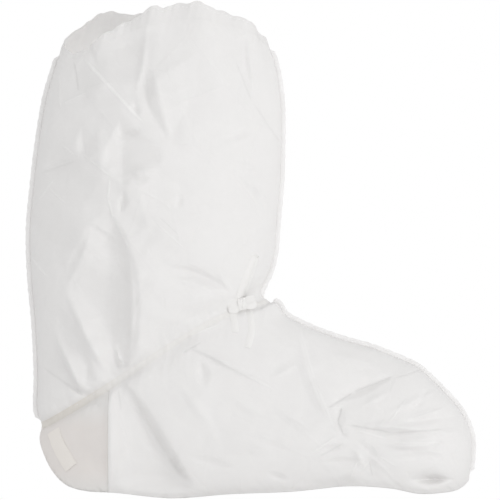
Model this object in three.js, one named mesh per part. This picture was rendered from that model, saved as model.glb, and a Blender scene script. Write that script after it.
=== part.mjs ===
// High shoe cover: a loose nonwoven boot that is pulled over a work shoe and the lower leg.
// Two side panels are seamed down the shin, over the instep and down the calf. A coated sole turns up round
// the heel, an elastic hem gathers the mouth, and a tape tied at the instep gathers the ankle.
// Millimetres, +Z up, +X towards the toe. The sole stands on z = 0, and the origin is under the middle.
import * as THREE from "three";

// ---- Driving dimensions ------------------------------------------------------------------------------
const CLOTH = 1.2; // wall of the side panels
const SOLE_THICKNESS = 1.6;
const HEM_THICKNESS = 2.0; // folded cloth with the elastic inside it
const HEM_PROUD = 0.4; // how far the hem stands outside the panels
const TAPE_THICKNESS = 1.0;
const TAPE_WIDTH = 6.5;
const TAPE_SEAT = 0.6; // how far the ankle tape's underside stands off the cloth
const GAP = 0.35; // clearance between neighbouring pieces
const SEAM_FIN = 3.8; // height of the sewn edge that stands out from a seam
const SEAM_FIN_THICKNESS = 1.8;
const WELT = 4; // how far the sole's edge turns up the side of the foot
const WELT_MOST = 0.4; // and at most this share of the side, at the toe
const HEEL_CUP_FRONT = -131; // x where the turned-up heel of the sole ends on each side
const COLUMNS = 20; // cells from the back or sole centre line to the front centre line, on each side
const SOLE_COLUMNS = 5; // how many of them belong to the sole, from the heel to the toe

// ---- Sections ----------------------------------------------------------------------------------------
// Each row is a cut through the boot, square to its middle plane. It runs from a point on the calf, heel
// or sole to a point on the shin, instep or toe. Half width is the widest place of one side, sole half is
// where the side starts on the flat bottom, pinch is 1 for an ellipse and more for a lens, and arch is how
// far the cut rises over its straight line, mostly in its front half.
const SECTION_COLUMNS =
  ["name", "backX", "backZ", "frontX", "frontZ", "halfWidth", "soleHalf", "pinch", "arch"];
const SECTIONS = [
  ["mouth", -174, 411, 14, 424, 43, 0, 1.1, 0],
  ["under_mouth", -181, 392, 23.5, 396, 50, 0, 1.2, 0],
  ["shoulder", -189, 366, 28.5, 360, 57, 0, 1.3, 0],
  ["upper_calf", -195.5, 328, 28.5, 319, 62, 0, 1.4, 0],
  ["calf", -200, 291, 27.5, 287, 64, 0, 1.4, 0],
  ["mid_calf", -204, 247, 24.5, 254, 64, 0, 1.4, 0],
  ["lower_calf", -203, 204, 22.5, 227, 62, 0, 1.4, 1],
  ["shin_base", -199, 158, 18, 208, 59, 0, 1.35, 4],
  ["above_ankle", -197, 112, 12.5, 196, 55, 0, 1.25, 8],
  ["over_tape", -196, 82, 9.5, 187, 49, 0, 1.15, 11],
  ["ankle_tape", -191, 65, 16, 180, 43, 0, 1.05, 11],
  ["heel_top", -195, 52, 29, 169, 48, 9, 1.05, 10],
  ["heel_back", -191, 39, 45, 160, 51, 16, 1.05, 7],
  ["heel_curve", -183, 24, 62, 152.5, 53, 24, 0.95, 4],
  ["heel_corner", -170, 10, 80, 146, 54, 32, 0.95, 2],
  ["heel_floor", -151, 2, 97, 141, 55, 38, 0.95, 0],
  ["heel_front", -122, 0, 113, 136.5, 55, 41, 0.95, 0],
  ["waist", -72, 0, 128.5, 130.5, 56, 43, 0.95, 0],
  ["arch_back", -18, 0, 143, 124.5, 57, 45, 0.95, 0],
  ["arch", 38, 3.5, 155, 118.5, 57, 47, 0.95, 0],
  ["arch_front", 88, 8, 168, 107, 57, 48, 0.95, 0],
  ["ball", 127, 6, 181, 94, 55, 47, 0.95, 0],
  ["toe_base", 154, 0.5, 192.5, 81, 50, 43, 0.95, 0],
  ["toe", 175, 0, 200.5, 67, 41, 35, 0.95, 0],
  ["toe_curve", 191, 5, 204.5, 54, 28, 23, 1.0, 0],
  ["toe_front", 201, 15, 205, 42, 13, 9, 1.0, 0],
  ["toe_tip", 203.5, 22, 205.2, 37, 1.6, 1.2, 1.0, 0],
].map((row) => Object.fromEntries(row.map((value, n) => [SECTION_COLUMNS[n], value])));
const placeOf = (name) => SECTIONS.findIndex((section) => section.name === name);
const ANKLE = placeOf("ankle_tape");
const TOE_END = SECTIONS.length - 1;
const HEM_DEPTH = 0.36; // share of the first section step that the hem takes
const HEM_CLEARANCE = 0.035; // between the hem and the panels, in section steps
const TAPE_HALF = 0.24; // half of the ankle tape, in section steps
const SOLE_CLEARANCE = 0.05; // between the sole's heel and the panels above it, in section steps
const SEAM_CLEARANCE = 0.1; // between a seam's end and the hem or the ankle tape, in section steps
const SOLE_INSET = 0.45; // between the sole's edge and the panels beside it

// ---- The mouth's edge --------------------------------------------------------------------------------
// How far the edge rises over the straight line from the calf to the shin, at shares of that line.
const MOUTH_COLUMNS = ["share", "right", "left"];
const MOUTH_LIFT = [
  [0.0, -2, -2],
  [0.1, -1, 20],
  [0.19, 10, 31],
  [0.3, 25, 30],
  [0.42, 35, 26],
  [0.6, 40, 27],
  [0.7, 36, 26],
  [0.8, 28, 21],
  [0.9, 20, 13],
  [0.96, 14, 7],
  [1.0, 0, 0],
].map((row) => Object.fromEntries(row.map((value, n) => [MOUTH_COLUMNS[n], value])));
const MOUTH_REACH = 3.2; // sections over which the lift fades out down the leg

// ---- Gathers -----------------------------------------------------------------------------------------
// The reaches are in section steps, down from the mouth or either way from the ankle tape.
const MOUTH_RUFFLES = 5; // on each side
const MOUTH_RUFFLE_HEIGHT = 2.6;
const MOUTH_RUFFLE_REACH = 0.9;
const MOUTH_SCALLOP = 1.8; // how far the edge dips between two ruffles
const MOUTH_SCALLOP_REACH = 0.4;
const SCALLOP_FREE_OF_SEAM = 1 / 6; // share of the way round at each end that has less of it
const ANKLE_PLEATS = 5; // on each side
const ANKLE_PLEAT_HEIGHT = 2.4;
const ANKLE_PLEAT_REACH = 1.1;
const ANKLE_PLEAT_START = 0.5; // the pleats grow from nothing at the tape to their height here
const PLEAT_TURN = 0.8; // the pleats under the tape don't quite line up with those over it, in radians

// ---- Where the cloth lies smooth ---------------------------------------------------------------------
const SEAM_CALM = 16; // folds fade out over this length beside a seam
const HEEL_CALM = 60; // and over this length of the foot, from the back of the heel
const FLOOR_CALM = [3, 21]; // and from the second height down to the first, at the foot
const TAPE_HOLD = 0.3; // share of the folds that is left under the ankle tape
const TAPE_CALM = 0.9; // section steps from there to where the tape no longer holds them down
const FOLD_ENDS = 0.25; // share of a fold's length over which it fades in, and out again

// ---- Folds -------------------------------------------------------------------------------------------
// Each fold is a crease over the side view, from its upper or left end to its other end, bowed at its
// middle to the right or upwards. It rises (a ridge) or falls (a valley) at the crease, and fades out over
// a width of its own on its left or lower side and on its right or upper side.
const FOLD_COLUMNS = ["name", "x1", "z1", "x2", "z2", "bow", "rise", "leftWidth", "rightWidth"];
const namedFolds = (rows) =>
  rows.map((row) => Object.fromEntries(row.map((value, n) => [FOLD_COLUMNS[n], value])));
const RIGHT_FOLDS = namedFolds([
  ["calf_shoulder", -92, 380, -127, 240, 0, 8, 64, 50],
  ["mouth_valley", -92, 400, -70, 322, 3, -6, 22, 16],
  ["mouth_diagonal", -164, 412, -94, 330, 0, 5, 22, 18],
  ["calf_cross_ridge", -184, 334, -120, 296, 0, 5, 18, 18],
  ["calf_cross_valley", -200, 292, -150, 316, 0, -5, 18, 18],
  ["diamond_upper_ridge", -128, 266, -172, 186, 4, 7, 34, 26],
  ["diamond_lower_ridge", -172, 200, -129, 98, 0, 9, 20, 22],
  ["diamond_floor", -128, 274, -123, 98, -3, -15, 34, 24],
  ["diamond_front_ridge", -124, 264, -116, 100, 16, 6, 20, 40],
  ["back_tuck", -198, 132, -142, 88, 0, -5, 18, 16],
  ["shin_diagonal", -34, 424, 34, 300, -4, -5, 20, 18],
  ["shin_hollow", -24, 306, 18, 248, 0, -5, 22, 20],
  ["ankle_arc", -96, 214, -8, 186, 8, -7, 18, 20],
  ["ankle_puff", -72, 176, -10, 186, 4, 7, 18, 16],
  ["heel_ridge", -131, 104, -131, 8, 0, 7, 26, 20],
  ["heel_channel", -116, 112, -46, 0, -8, -12, 30, 22],
  ["side_ridge", -64, 142, 34, 98, 4, 5, 18, 18],
  ["instep_ridge", 44, 162, 84, 60, 0, 5, 28, 22],
  ["instep_valley", 70, 82, 142, 116, 0, -5, 18, 18],
  ["toe_ridge", 88, 70, 186, 62, 0, 5, 16, 16],
  ["toe_pocket", 138, 16, 188, 17, 0, -7, 13, 12],
]);
const LEFT_FOLDS = namedFolds([
  ["calf_shoulder", -84, 390, -112, 250, 0, 7, 60, 50],
  ["mouth_valley", -70, 408, -56, 330, -3, -6, 18, 18],
  ["mouth_diagonal", -140, 416, -78, 330, 0, 5, 20, 18],
  ["calf_cross_ridge", -188, 318, -124, 282, 0, 5, 18, 18],
  ["calf_cross_valley", -198, 262, -146, 240, 0, -5, 18, 20],
  ["long_ridge", -120, 256, -158, 146, -6, 8, 28, 28],
  ["long_valley", -112, 272, -126, 98, 6, -13, 30, 26],
  ["front_ridge", -96, 256, -104, 100, 14, 6, 22, 40],
  ["shin_diagonal", -22, 414, 32, 316, 0, -5, 20, 18],
  ["shin_hollow", -34, 294, 16, 244, 0, -5, 22, 20],
  ["ankle_arc", -90, 204, -8, 190, 8, -7, 18, 20],
  ["ankle_puff", -62, 168, -10, 182, 4, 6, 18, 16],
  ["heel_ridge", -133, 102, -130, 8, 0, 6, 24, 20],
  ["heel_channel", -116, 104, -64, 0, -6, -10, 26, 24],
  ["side_ridge", -52, 134, 42, 90, -4, 5, 18, 18],
  ["instep_ridge", 54, 158, 94, 58, 0, 5, 26, 22],
  ["instep_valley", 78, 76, 148, 106, 0, -5, 18, 18],
  ["toe_ridge", 96, 62, 186, 56, 0, 5, 16, 16],
]);

// ---- Small helpers -----------------------------------------------------------------------------------
const clamp = THREE.MathUtils.clamp;
const smooth = (x) => THREE.MathUtils.smoothstep(x, 0, 1);

// A value of the section table at any place along the boot, on a smooth curve through the rows.
function sectionValue(column, place) {
  const first = clamp(Math.floor(place), 0, TOE_END - 1);
  const share = place - first;
  const at = (n) => SECTIONS[clamp(n, 0, TOE_END)][column];
  const [a, b, c, d] = [at(first - 1), at(first), at(first + 1), at(first + 2)];
  const bend = 2 * a - 5 * b + 4 * c - d + (3 * (b - c) + d - a) * share;
  return b + 0.5 * share * (c - a + share * bend);
}

// The mouth's lift at a share of the way from the calf to the shin, smoothed between the table's rows.
function mouthLift(share, side) {
  const column = side < 0 ? "right" : "left";
  const next = clamp(MOUTH_LIFT.findIndex((row) => row.share >= share), 1, MOUTH_LIFT.length - 1);
  const [low, high] = [MOUTH_LIFT[next - 1], MOUTH_LIFT[next]];
  const part = smooth((share - low.share) / (high.share - low.share));
  return THREE.MathUtils.lerp(low[column], high[column], part);
}

// One side of a section as points with their share of the way to the front, half width and length so far.
const LOOP_STEPS = 60;
const FLAT_STEPS = 6;
const LEAST_HALF_WIDTH = 0.5;
const MOST_FLAT = 0.97; // of the half width
const loops = new Map();
function sectionLoop(place) {
  if (loops.has(place)) return loops.get(place);
  const across = sectionValue("frontX", place) - sectionValue("backX", place);
  const rise = sectionValue("frontZ", place) - sectionValue("backZ", place);
  const reach = Math.hypot(across, rise);
  const wide = Math.max(sectionValue("halfWidth", place), LEAST_HALF_WIDTH);
  const flat = clamp(sectionValue("soleHalf", place), 0, MOST_FLAT * wide);
  const pinch = sectionValue("pinch", place);
  const start = Math.asin((flat / wide) ** (1 / pinch));
  const points = [];
  for (let n = 0; n < FLAT_STEPS; n++) points.push({ share: 0, y: (flat * n) / FLAT_STEPS });
  for (let n = 0; n <= LOOP_STEPS; n++) {
    const angle = start + ((Math.PI - start) * n) / LOOP_STEPS;
    points.push({
      share: (Math.cos(start) - Math.cos(angle)) / (1 + Math.cos(start)),
      y: wide * Math.max(Math.sin(angle), 0) ** pinch,
    });
  }
  points[0].length = 0;
  for (let n = 1; n < points.length; n++) {
    const step = Math.hypot((points[n].share - points[n - 1].share) * reach, points[n].y - points[n - 1].y);
    points[n].length = points[n - 1].length + step;
  }
  const loop = { points, flat, length: points.at(-1).length };
  loops.set(place, loop);
  return loop;
}

// A point of the smooth boot, before its folds: place runs from the mouth to the toe, and length is
// measured round the section from the centre line of the calf, heel or sole. Side is -1 right, 1 left.
function smoothPoint(place, length, side) {
  const { points, length: whole } = sectionLoop(place);
  const wanted = clamp(length, 0, whole);
  const next = clamp(points.findIndex((point) => point.length >= wanted), 1, points.length - 1);
  const [low, high] = [points[next - 1], points[next]];
  const part = high.length > low.length ? (wanted - low.length) / (high.length - low.length) : 0;
  const share = THREE.MathUtils.lerp(low.share, high.share, part);
  const y = THREE.MathUtils.lerp(low.y, high.y, part);
  const x = THREE.MathUtils.lerp(sectionValue("backX", place), sectionValue("frontX", place), share);
  const line = THREE.MathUtils.lerp(sectionValue("backZ", place), sectionValue("frontZ", place), share);
  const fade = (1 - clamp(place / MOUTH_REACH, 0, 1)) ** 2;
  const waves = Math.cos((4 * Math.PI * MOUTH_RUFFLES * length) / whole);
  const dip = MOUTH_SCALLOP * waves * Math.exp(-place / MOUTH_SCALLOP_REACH);
  const offSeams = smooth(share / SCALLOP_FREE_OF_SEAM) * smooth((1 - share) / SCALLOP_FREE_OF_SEAM);
  const lift = mouthLift(share, side) * fade - dip * offSeams;
  const z = line + lift + sectionValue("arch", place) * Math.sin(Math.PI * share ** 2);
  return new THREE.Vector3(x, side * y, Math.max(z, 0));
}

// The outward normal of any function of place and length round one side of the boot. Next to a seam it
// stays in the boot's middle plane, so that both sides agree there.
const PLACE_STEP = 0.03;
const LENGTH_STEP = 1.2;
const SEAM_BAND = 0.8;
function normalOf(surface, place, length, side) {
  const whole = sectionLoop(place).length;
  const [above, below] = [Math.max(place - PLACE_STEP, 0), Math.min(place + PLACE_STEP, TOE_END)];
  const [before, after] = [Math.max(length - LENGTH_STEP, 0), Math.min(length + LENGTH_STEP, whole)];
  const scaled = (p) => (length / whole) * sectionLoop(p).length;
  const down = surface(below, scaled(below), side).sub(surface(above, scaled(above), side));
  const round = surface(place, after, side).sub(surface(place, before, side));
  const normal = new THREE.Vector3().crossVectors(down, round).multiplyScalar(-side).normalize();
  const seamed = length < SEAM_BAND || length > whole - SEAM_BAND;
  return seamed ? normal.setY(0).normalize() : normal;
}

// How far one fold lifts the cloth at a point of the side view.
function foldHeight(fold, x, z) {
  const reach = Math.hypot(fold.x2 - fold.x1, fold.z2 - fold.z1);
  const [dx, dz] = [(fold.x2 - fold.x1) / reach, (fold.z2 - fold.z1) / reach];
  const share = ((x - fold.x1) * dx + (z - fold.z1) * dz) / reach;
  if (share <= 0 || share >= 1) return 0;
  const across = (z - fold.z1) * dx - (x - fold.x1) * dz - fold.bow * 4 * share * (1 - share);
  const width = across < 0 ? fold.leftWidth : fold.rightWidth;
  const slope = 1 - Math.abs(across) / width;
  if (slope <= 0) return 0;
  return fold.rise * smooth(slope) * smooth(share / FOLD_ENDS) * smooth((1 - share) / FOLD_ENDS);
}

// The cloth's surface with its folds, the ruffles under the mouth and the pleats at the ankle.
function clothPoint(place, length, side) {
  const point = smoothPoint(place, length, side);
  const { length: whole, flat } = sectionLoop(place);
  const fromSeam = Math.min(place > ANKLE ? Math.max(length - flat, 0) : length, whole - length);
  const free = smooth(fromSeam / SEAM_CALM);
  if (free <= 0) return point;
  const folds = side < 0 ? RIGHT_FOLDS : LEFT_FOLDS;
  let height = folds.reduce((sum, fold) => sum + foldHeight(fold, point.x, point.z), 0);
  const turns = (2 * Math.PI * length) / whole;
  height += MOUTH_RUFFLE_HEIGHT * Math.sin(turns * MOUTH_RUFFLES) * Math.exp(-place / MOUTH_RUFFLE_REACH);
  const onFoot = place > ANKLE;
  const fromAnkle = Math.abs(place - ANKLE);
  const pleated = Math.exp(-fromAnkle / ANKLE_PLEAT_REACH) * smooth(fromAnkle / ANKLE_PLEAT_START);
  height += ANKLE_PLEAT_HEIGHT * Math.sin(turns * ANKLE_PLEATS + (onFoot ? PLEAT_TURN : 0)) * pleated;
  const offFloor = onFoot ? THREE.MathUtils.smoothstep(point.z, ...FLOOR_CALM) : 1;
  const offHeel = onFoot ? smooth((point.x - sectionValue("backX", ANKLE)) / HEEL_CALM) : 1;
  const offTape = THREE.MathUtils.lerp(TAPE_HOLD, 1, smooth(fromAnkle / TAPE_CALM));
  height *= free * offFloor * offHeel * offTape;
  return point.addScaledVector(normalOf(smoothPoint, place, length, side), height);
}

// A point off the cloth's surface by a distance, outwards or, where it is negative, inwards.
function offCloth(place, length, side, out) {
  return clothPoint(place, length, side).addScaledVector(normalOf(clothPoint, place, length, side), out);
}

// ---- Rows and columns of the cloth -------------------------------------------------------------------
// The rows lie on the sections and half way between them, from under the hem to the toe, and on both edges
// of the ankle tape.
const PLACES = [HEM_DEPTH];
for (let n = 1; n <= 2 * TOE_END; n++) PLACES.push(n / 2);
PLACES.splice(PLACES.indexOf(ANKLE), 1, ANKLE - TAPE_HALF, ANKLE, ANKLE + TAPE_HALF);

// Where the sole meets the side panel, round one side of a section.
function soleEdge(place) {
  const { points, flat, length } = sectionLoop(place);
  if (place < ANKLE) return (length * SOLE_COLUMNS) / COLUMNS;
  const back = sectionValue("backX", place);
  const cupShare = (HEEL_CUP_FRONT - back) / (sectionValue("frontX", place) - back);
  const next = points.findIndex((point) => point.share > Math.max(cupShare, 0));
  const [low, high] = [points[next - 1], points[next]];
  const part = clamp((cupShare - low.share) / (high.share - low.share), 0, 1);
  const cup = THREE.MathUtils.lerp(low.length, high.length, part);
  return Math.max(cup, flat + Math.min(WELT, WELT_MOST * (length - flat)));
}

// The place of a row of a list of places, also half way between two rows.
function placeAt(places, row) {
  const first = Math.min(Math.floor(row), places.length - 2);
  return THREE.MathUtils.lerp(places[first], places[first + 1], row - first);
}

// Length round the section of one column line.
function columnLength(place, column) {
  const edge = soleEdge(place);
  if (column <= SOLE_COLUMNS) return (edge * column) / SOLE_COLUMNS;
  const share = (column - SOLE_COLUMNS) / (COLUMNS - SOLE_COLUMNS);
  return edge + (sectionLoop(place).length - edge) * share;
}

// ---- Closed bodies from sheets -----------------------------------------------------------------------
function bodyFrom(positions, faces) {
  const geometry = new THREE.BufferGeometry();
  geometry.setAttribute("position", new THREE.Float32BufferAttribute(positions.flatMap((p) => [...p]), 3));
  geometry.setIndex(faces.flat());
  geometry.computeVertexNormals();
  return geometry;
}

// A sheet of cloth with two faces and a rim. outer and inner give a point for a row and a column, and has
// says which cells belong to the sheet. Wrapped sheets close on themselves across the columns. Each cell is
// split along the diagonal that passes nearer to the real surface at its middle, so that creases stay whole.
function thickSheet({ rows, columns, outer, inner, has = () => true, wrapped = false, flip = false }) {
  const positions = [];
  const faces = [];
  const numbers = new Map();
  const count = wrapped ? columns : columns + 1;
  const vertex = (row, column, layer) => {
    const key = `${row},${column % count},${layer}`;
    if (!numbers.has(key)) {
      numbers.set(key, positions.length);
      positions.push(layer ? inner(row, column % count) : outer(row, column % count));
    }
    return numbers.get(key);
  };
  const triangle = (a, b, c) => faces.push(flip ? [a, c, b] : [a, b, c]);
  const quad = (a, b, c, d, turned = false) => {
    if (turned) [a, b, c, d] = [b, c, d, a];
    triangle(a, b, c);
    triangle(a, c, d);
  };
  const missBy = (a, b, middle) => positions[a].clone().lerp(positions[b], 0.5).distanceTo(middle);
  const inside = (row, column) => {
    const turned = wrapped ? (column + columns) % columns : column;
    return row >= 0 && row < rows && turned >= 0 && turned < columns && has(row, turned);
  };
  for (let row = 0; row < rows; row++) {
    for (let column = 0; column < columns; column++) {
      if (!inside(row, column)) continue;
      const corners = [[row, column], [row + 1, column], [row + 1, column + 1], [row, column + 1]];
      const [a, b, c, d] = corners.map(([r, k]) => vertex(r, k, 0));
      const [e, f, g, h] = corners.map(([r, k]) => vertex(r, k, 1));
      const middle = outer(row + 0.5, column + 0.5);
      const turned = missBy(b, d, middle) < missBy(a, c, middle);
      quad(a, b, c, d, turned);
      quad(e, h, g, f, turned);
      if (!inside(row, column - 1)) quad(b, a, e, f);
      if (!inside(row + 1, column)) quad(c, b, f, g);
      if (!inside(row, column + 1)) quad(d, c, g, h);
      if (!inside(row - 1, column)) quad(a, d, h, e);
    }
  }
  return bodyFrom(positions, faces);
}

// A bar with a four-cornered section: corners(n) gives the four corners at each step, in the same order.
function sweptBar(steps, corners) {
  const rings = [];
  for (let n = 0; n <= steps; n++) rings.push(corners(n));
  const faces = [[0, 2, 1], [0, 3, 2]];
  for (let n = 0; n < steps; n++) {
    for (let k = 0; k < 4; k++) {
      const [a, b] = [4 * n + k, 4 * n + ((k + 1) % 4)];
      faces.push([a, b, b + 4], [a, b + 4, a + 4]);
    }
  }
  const last = 4 * steps;
  faces.push([last, last + 1, last + 2], [last, last + 2, last + 3]);
  return bodyFrom(rings.flat(), faces);
}

// ---- Materials ---------------------------------------------------------------------------------------
const white = (name, color, roughness) =>
  new THREE.MeshStandardMaterial({ name, color, roughness, metalness: 0, side: THREE.DoubleSide });
const CLOTH_WHITE = white("nonwoven_cloth", 0xeae9e6, 0.75);
const SOLE_WHITE = white("coated_sole", 0xe3dcd6, 0.6);
const SEAM_WHITE = white("seam_edge", 0xe6e5e2, 0.8);
const HEM_WHITE = white("elastic_hem", 0xe8e7e4, 0.8);
const TAPE_WHITE = white("tie_tape", 0xe2e1da, 0.7);
const HEEL_TAPE = white("heel_tape", 0xeadfcf, 0.55);

const shoeCover = new THREE.Group();
shoeCover.name = "shoe_cover";
function add(name, geometry, material) {
  const mesh = new THREE.Mesh(geometry, material);
  mesh.name = name;
  shoeCover.add(mesh);
  return mesh;
}

// ---- Side panels: the whole of one side, less the heel cup and the sole ------------------------------
function sidePanel(side) {
  const rows = PLACES.length - 1;
  const ankleRow = PLACES.indexOf(ANKLE);
  const point = (out) => (row, column) => {
    const place = Math.max(placeAt(PLACES, row), HEM_DEPTH + HEM_CLEARANCE);
    const length = clamp(columnLength(place, column), GAP, sectionLoop(place).length - GAP);
    const made = offCloth(place, length, side, out);
    made.y = side * Math.max(side * made.y, GAP);
    return made;
  };
  return thickSheet({
    rows,
    columns: COLUMNS,
    outer: point(0),
    inner: point(-CLOTH),
    has: (row, column) => row < ankleRow || column >= SOLE_COLUMNS,
    flip: side > 0,
  });
}
add("right_side_panel", sidePanel(-1), CLOTH_WHITE);
add("left_side_panel", sidePanel(1), CLOTH_WHITE.clone());

// ---- Sole: flat under the foot, turned up a little at its edge and right up round the heel -----------
function sole() {
  const places = PLACES.filter((place) => place >= ANKLE);
  const point = (out) => (row, column) => {
    const place = Math.max(placeAt(places, row), ANKLE + SOLE_CLEARANCE);
    const side = column < SOLE_COLUMNS ? -1 : 1;
    const from = Math.abs(column - SOLE_COLUMNS);
    const inset = from === SOLE_COLUMNS ? SOLE_INSET : 0;
    return offCloth(place, Math.max(columnLength(place, from) - inset, 0), side, out);
  };
  return thickSheet({
    rows: places.length - 1,
    columns: 2 * SOLE_COLUMNS,
    outer: point(0),
    inner: point(-SOLE_THICKNESS),
    flip: true,
  });
}
add("sole", sole(), SOLE_WHITE);

// ---- Bands that run right round: the elastic hem at the mouth and the tape at the ankle --------------
function bandRound(places, low, high) {
  const point = (out) => (row, column) => {
    const side = column <= COLUMNS ? -1 : 1;
    const from = side < 0 ? column : 2 * COLUMNS - column;
    const place = placeAt(places, row);
    return offCloth(place, columnLength(place, from), side, out);
  };
  return thickSheet({
    rows: places.length - 1,
    columns: 2 * COLUMNS,
    outer: point(high),
    inner: point(low),
    wrapped: true,
  });
}
const HEM_PLACES = [0, HEM_DEPTH / 2, HEM_DEPTH];
const TAPE_PLACES = [ANKLE - TAPE_HALF, ANKLE, ANKLE + TAPE_HALF];
add("elastic_hem", bandRound(HEM_PLACES, HEM_PROUD - HEM_THICKNESS, HEM_PROUD), HEM_WHITE);
add("ankle_tape", bandRound(TAPE_PLACES, TAPE_SEAT, TAPE_SEAT + TAPE_THICKNESS), TAPE_WHITE);

// ---- Seams: the sewn edges of the two panels stand out as a narrow fin -------------------------------
function seamFin(line) {
  const half = SEAM_FIN_THICKNESS / 2;
  const [low, high] = [GAP, GAP + SEAM_FIN];
  return sweptBar(line.length - 1, (n) => {
    const ahead = line[Math.min(n + 1, line.length - 1)];
    const behind = line[Math.max(n - 1, 0)];
    const way = ahead.clone().sub(behind).normalize();
    const out = new THREE.Vector3(-way.z, 0, way.x);
    const corner = (distance, y) => line[n].clone().addScaledVector(out, distance).setY(y);
    return [corner(low, half), corner(high, half), corner(high, -half), corner(low, -half)];
  });
}
const frontPoint = (place) => smoothPoint(place, sectionLoop(place).length, 1);
const backPoint = (place) => smoothPoint(place, 0, 1);
const seamPlaces = (from, to) => [from, ...PLACES.filter((place) => place > from && place < to), to];
const LEG_TOP = HEM_DEPTH + SEAM_CLEARANCE;
const LEG_END = ANKLE - TAPE_HALF - SEAM_CLEARANCE;
const FOOT_START = ANKLE + TAPE_HALF + SEAM_CLEARANCE;
add("shin_seam", seamFin(seamPlaces(LEG_TOP, LEG_END).map(frontPoint)), SEAM_WHITE);
add("instep_seam", seamFin(seamPlaces(FOOT_START, TOE_END).map(frontPoint)), SEAM_WHITE.clone());
add("back_seam", seamFin(seamPlaces(LEG_TOP, LEG_END).reverse().map(backPoint)), SEAM_WHITE.clone());

// ---- The tie: the ends of the ankle tape, knotted in front of the ankle ------------------------------
// Place and length round the section of the point of the right side that has this x and z. It starts near
// the knot, and each round moves it by Newton's method, by no more than the longest moves.
const KNOT_SHARE = 0.9;
const ROUNDS = 20;
const LONGEST_MOVES = { place: 0.5, share: 0.1 };
function underPoint(x, z) {
  let [place, share] = [ANKLE, KNOT_SHARE];
  const error = (p, s) => {
    const point = smoothPoint(p, s * sectionLoop(p).length, -1);
    return [point.x - x, point.z - z];
  };
  const step = 0.01;
  for (let round = 0; round < ROUNDS; round++) {
    const [ex, ez] = error(place, share);
    const [px, pz] = error(place + step, share).map((value, n) => (value - [ex, ez][n]) / step);
    const [sx, sz] = error(place, share + step).map((value, n) => (value - [ex, ez][n]) / step);
    const scale = px * sz - sx * pz;
    const placeMove = clamp((ex * sz - ez * sx) / scale, -LONGEST_MOVES.place, LONGEST_MOVES.place);
    const shareMove = clamp((px * ez - pz * ex) / scale, -LONGEST_MOVES.share, LONGEST_MOVES.share);
    place = clamp(place - placeMove, 0, TOE_END - 1);
    share = clamp(share - shareMove, 0.05, 0.95);
  }
  return [place, share * sectionLoop(place).length];
}

// A flat tape that lies on the right side along a curve of the side view: x, z and its height off the cloth.
const FLAT_TAPE_STEP = 5;
const LEAST_FLAT_TAPE_STEPS = 6;
function flatTape({ route, thickness }) {
  const curve = new THREE.CatmullRomCurve3(route.map(([x, z, height]) => new THREE.Vector3(x, height, z)));
  const steps = Math.max(LEAST_FLAT_TAPE_STEPS, Math.round(curve.getLength() / FLAT_TAPE_STEP));
  const middle = [];
  const normals = [];
  for (const point of curve.getSpacedPoints(steps)) {
    const [place, length] = underPoint(point.x, point.z);
    middle.push(offCloth(place, length, -1, point.y));
    normals.push(normalOf(clothPoint, place, length, -1));
  }
  return sweptBar(steps, (n) => {
    const way = middle[Math.min(n + 1, steps)].clone().sub(middle[Math.max(n - 1, 0)]).normalize();
    const across = new THREE.Vector3().crossVectors(way, normals[n]).normalize();
    const corner = (out, aside) =>
      middle[n].clone().addScaledVector(normals[n], out).addScaledVector(across, (aside * TAPE_WIDTH) / 2);
    return [corner(0, -1), corner(thickness, -1), corner(thickness, 1), corner(0, 1)];
  });
}

// The knot lies on the ankle tape, and turns with the cloth under it.
const KNOT = { x: -7, z: 177, halfLength: 12.5, halfHeight: 6.5, halfDepth: 4, rise: 1.2 };
function tieKnot() {
  const [place, length] = underPoint(KNOT.x, KNOT.z);
  const normal = normalOf(clothPoint, place, length, -1);
  const knot = new THREE.SphereGeometry(1, 14, 9);
  knot.scale(KNOT.halfLength, KNOT.halfDepth, KNOT.halfHeight);
  knot.rotateZ(Math.atan2(normal.x, -normal.y));
  const seat = offCloth(place, length, -1, TAPE_SEAT + TAPE_THICKNESS + KNOT.rise + KNOT.halfDepth);
  return knot.translate(...seat);
}
add("tie_knot", tieKnot(), TAPE_WHITE.clone());

// The folded end that stands up from the knot, the two ends that hang from it, and the strip on the heel.
const FLAT_TAPES = [
  {
    name: "tie_loop",
    thickness: 2,
    material: TAPE_WHITE.clone(),
    route: [[-6.5, 183.4, 4.4], [-4.5, 193, 3.4], [0, 208, 1.6], [6, 224, 0.5]],
  },
  {
    name: "tie_tail_back",
    thickness: 1,
    material: TAPE_WHITE.clone(),
    route: [[-13.5, 171.9, 4.6], [-15, 165, 2.8], [-14.5, 158, 1.2], [-14, 153, 0.5]],
  },
  {
    name: "tie_tail_front",
    thickness: 1,
    material: TAPE_WHITE.clone(),
    route: [[0.5, 168, 4], [2, 161, 2.6], [1, 151, 1.3], [-3, 139, 0.8]],
  },
  {
    name: "heel_tape",
    thickness: 0.8,
    material: HEEL_TAPE,
    route: [[-185, 60, 1.2], [-177.5, 48, 0.7], [-169, 36, 0.7], [-158, 27, 1]],
  },
];
for (const tape of FLAT_TAPES) add(tape.name, flatTape(tape), tape.material);

export default shoeCover;
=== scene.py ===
# %% [markdown]
# # A high shoe cover
# A shoe cover is a loose boot of thin white nonwoven cloth that is pulled over a work shoe and the lower leg.
# Two side panels are sewn together down the shin, over the instep and down the calf. A coated sole turns up
# round the heel, an elastic hem gathers the mouth, and a tape tied at the instep gathers the ankle.
#
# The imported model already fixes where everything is, so this lesson starts by loading it. Everything that is
# made here stands in the same place, in metres, with +Z up and the toe along +X.

# %% Load the frame
import math
import bpy
import numpy as np
from mathutils import Matrix, Vector
from mathutils.bvhtree import BVHTree
from mathutils.geometry import delaunay_2d_cdt


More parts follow.
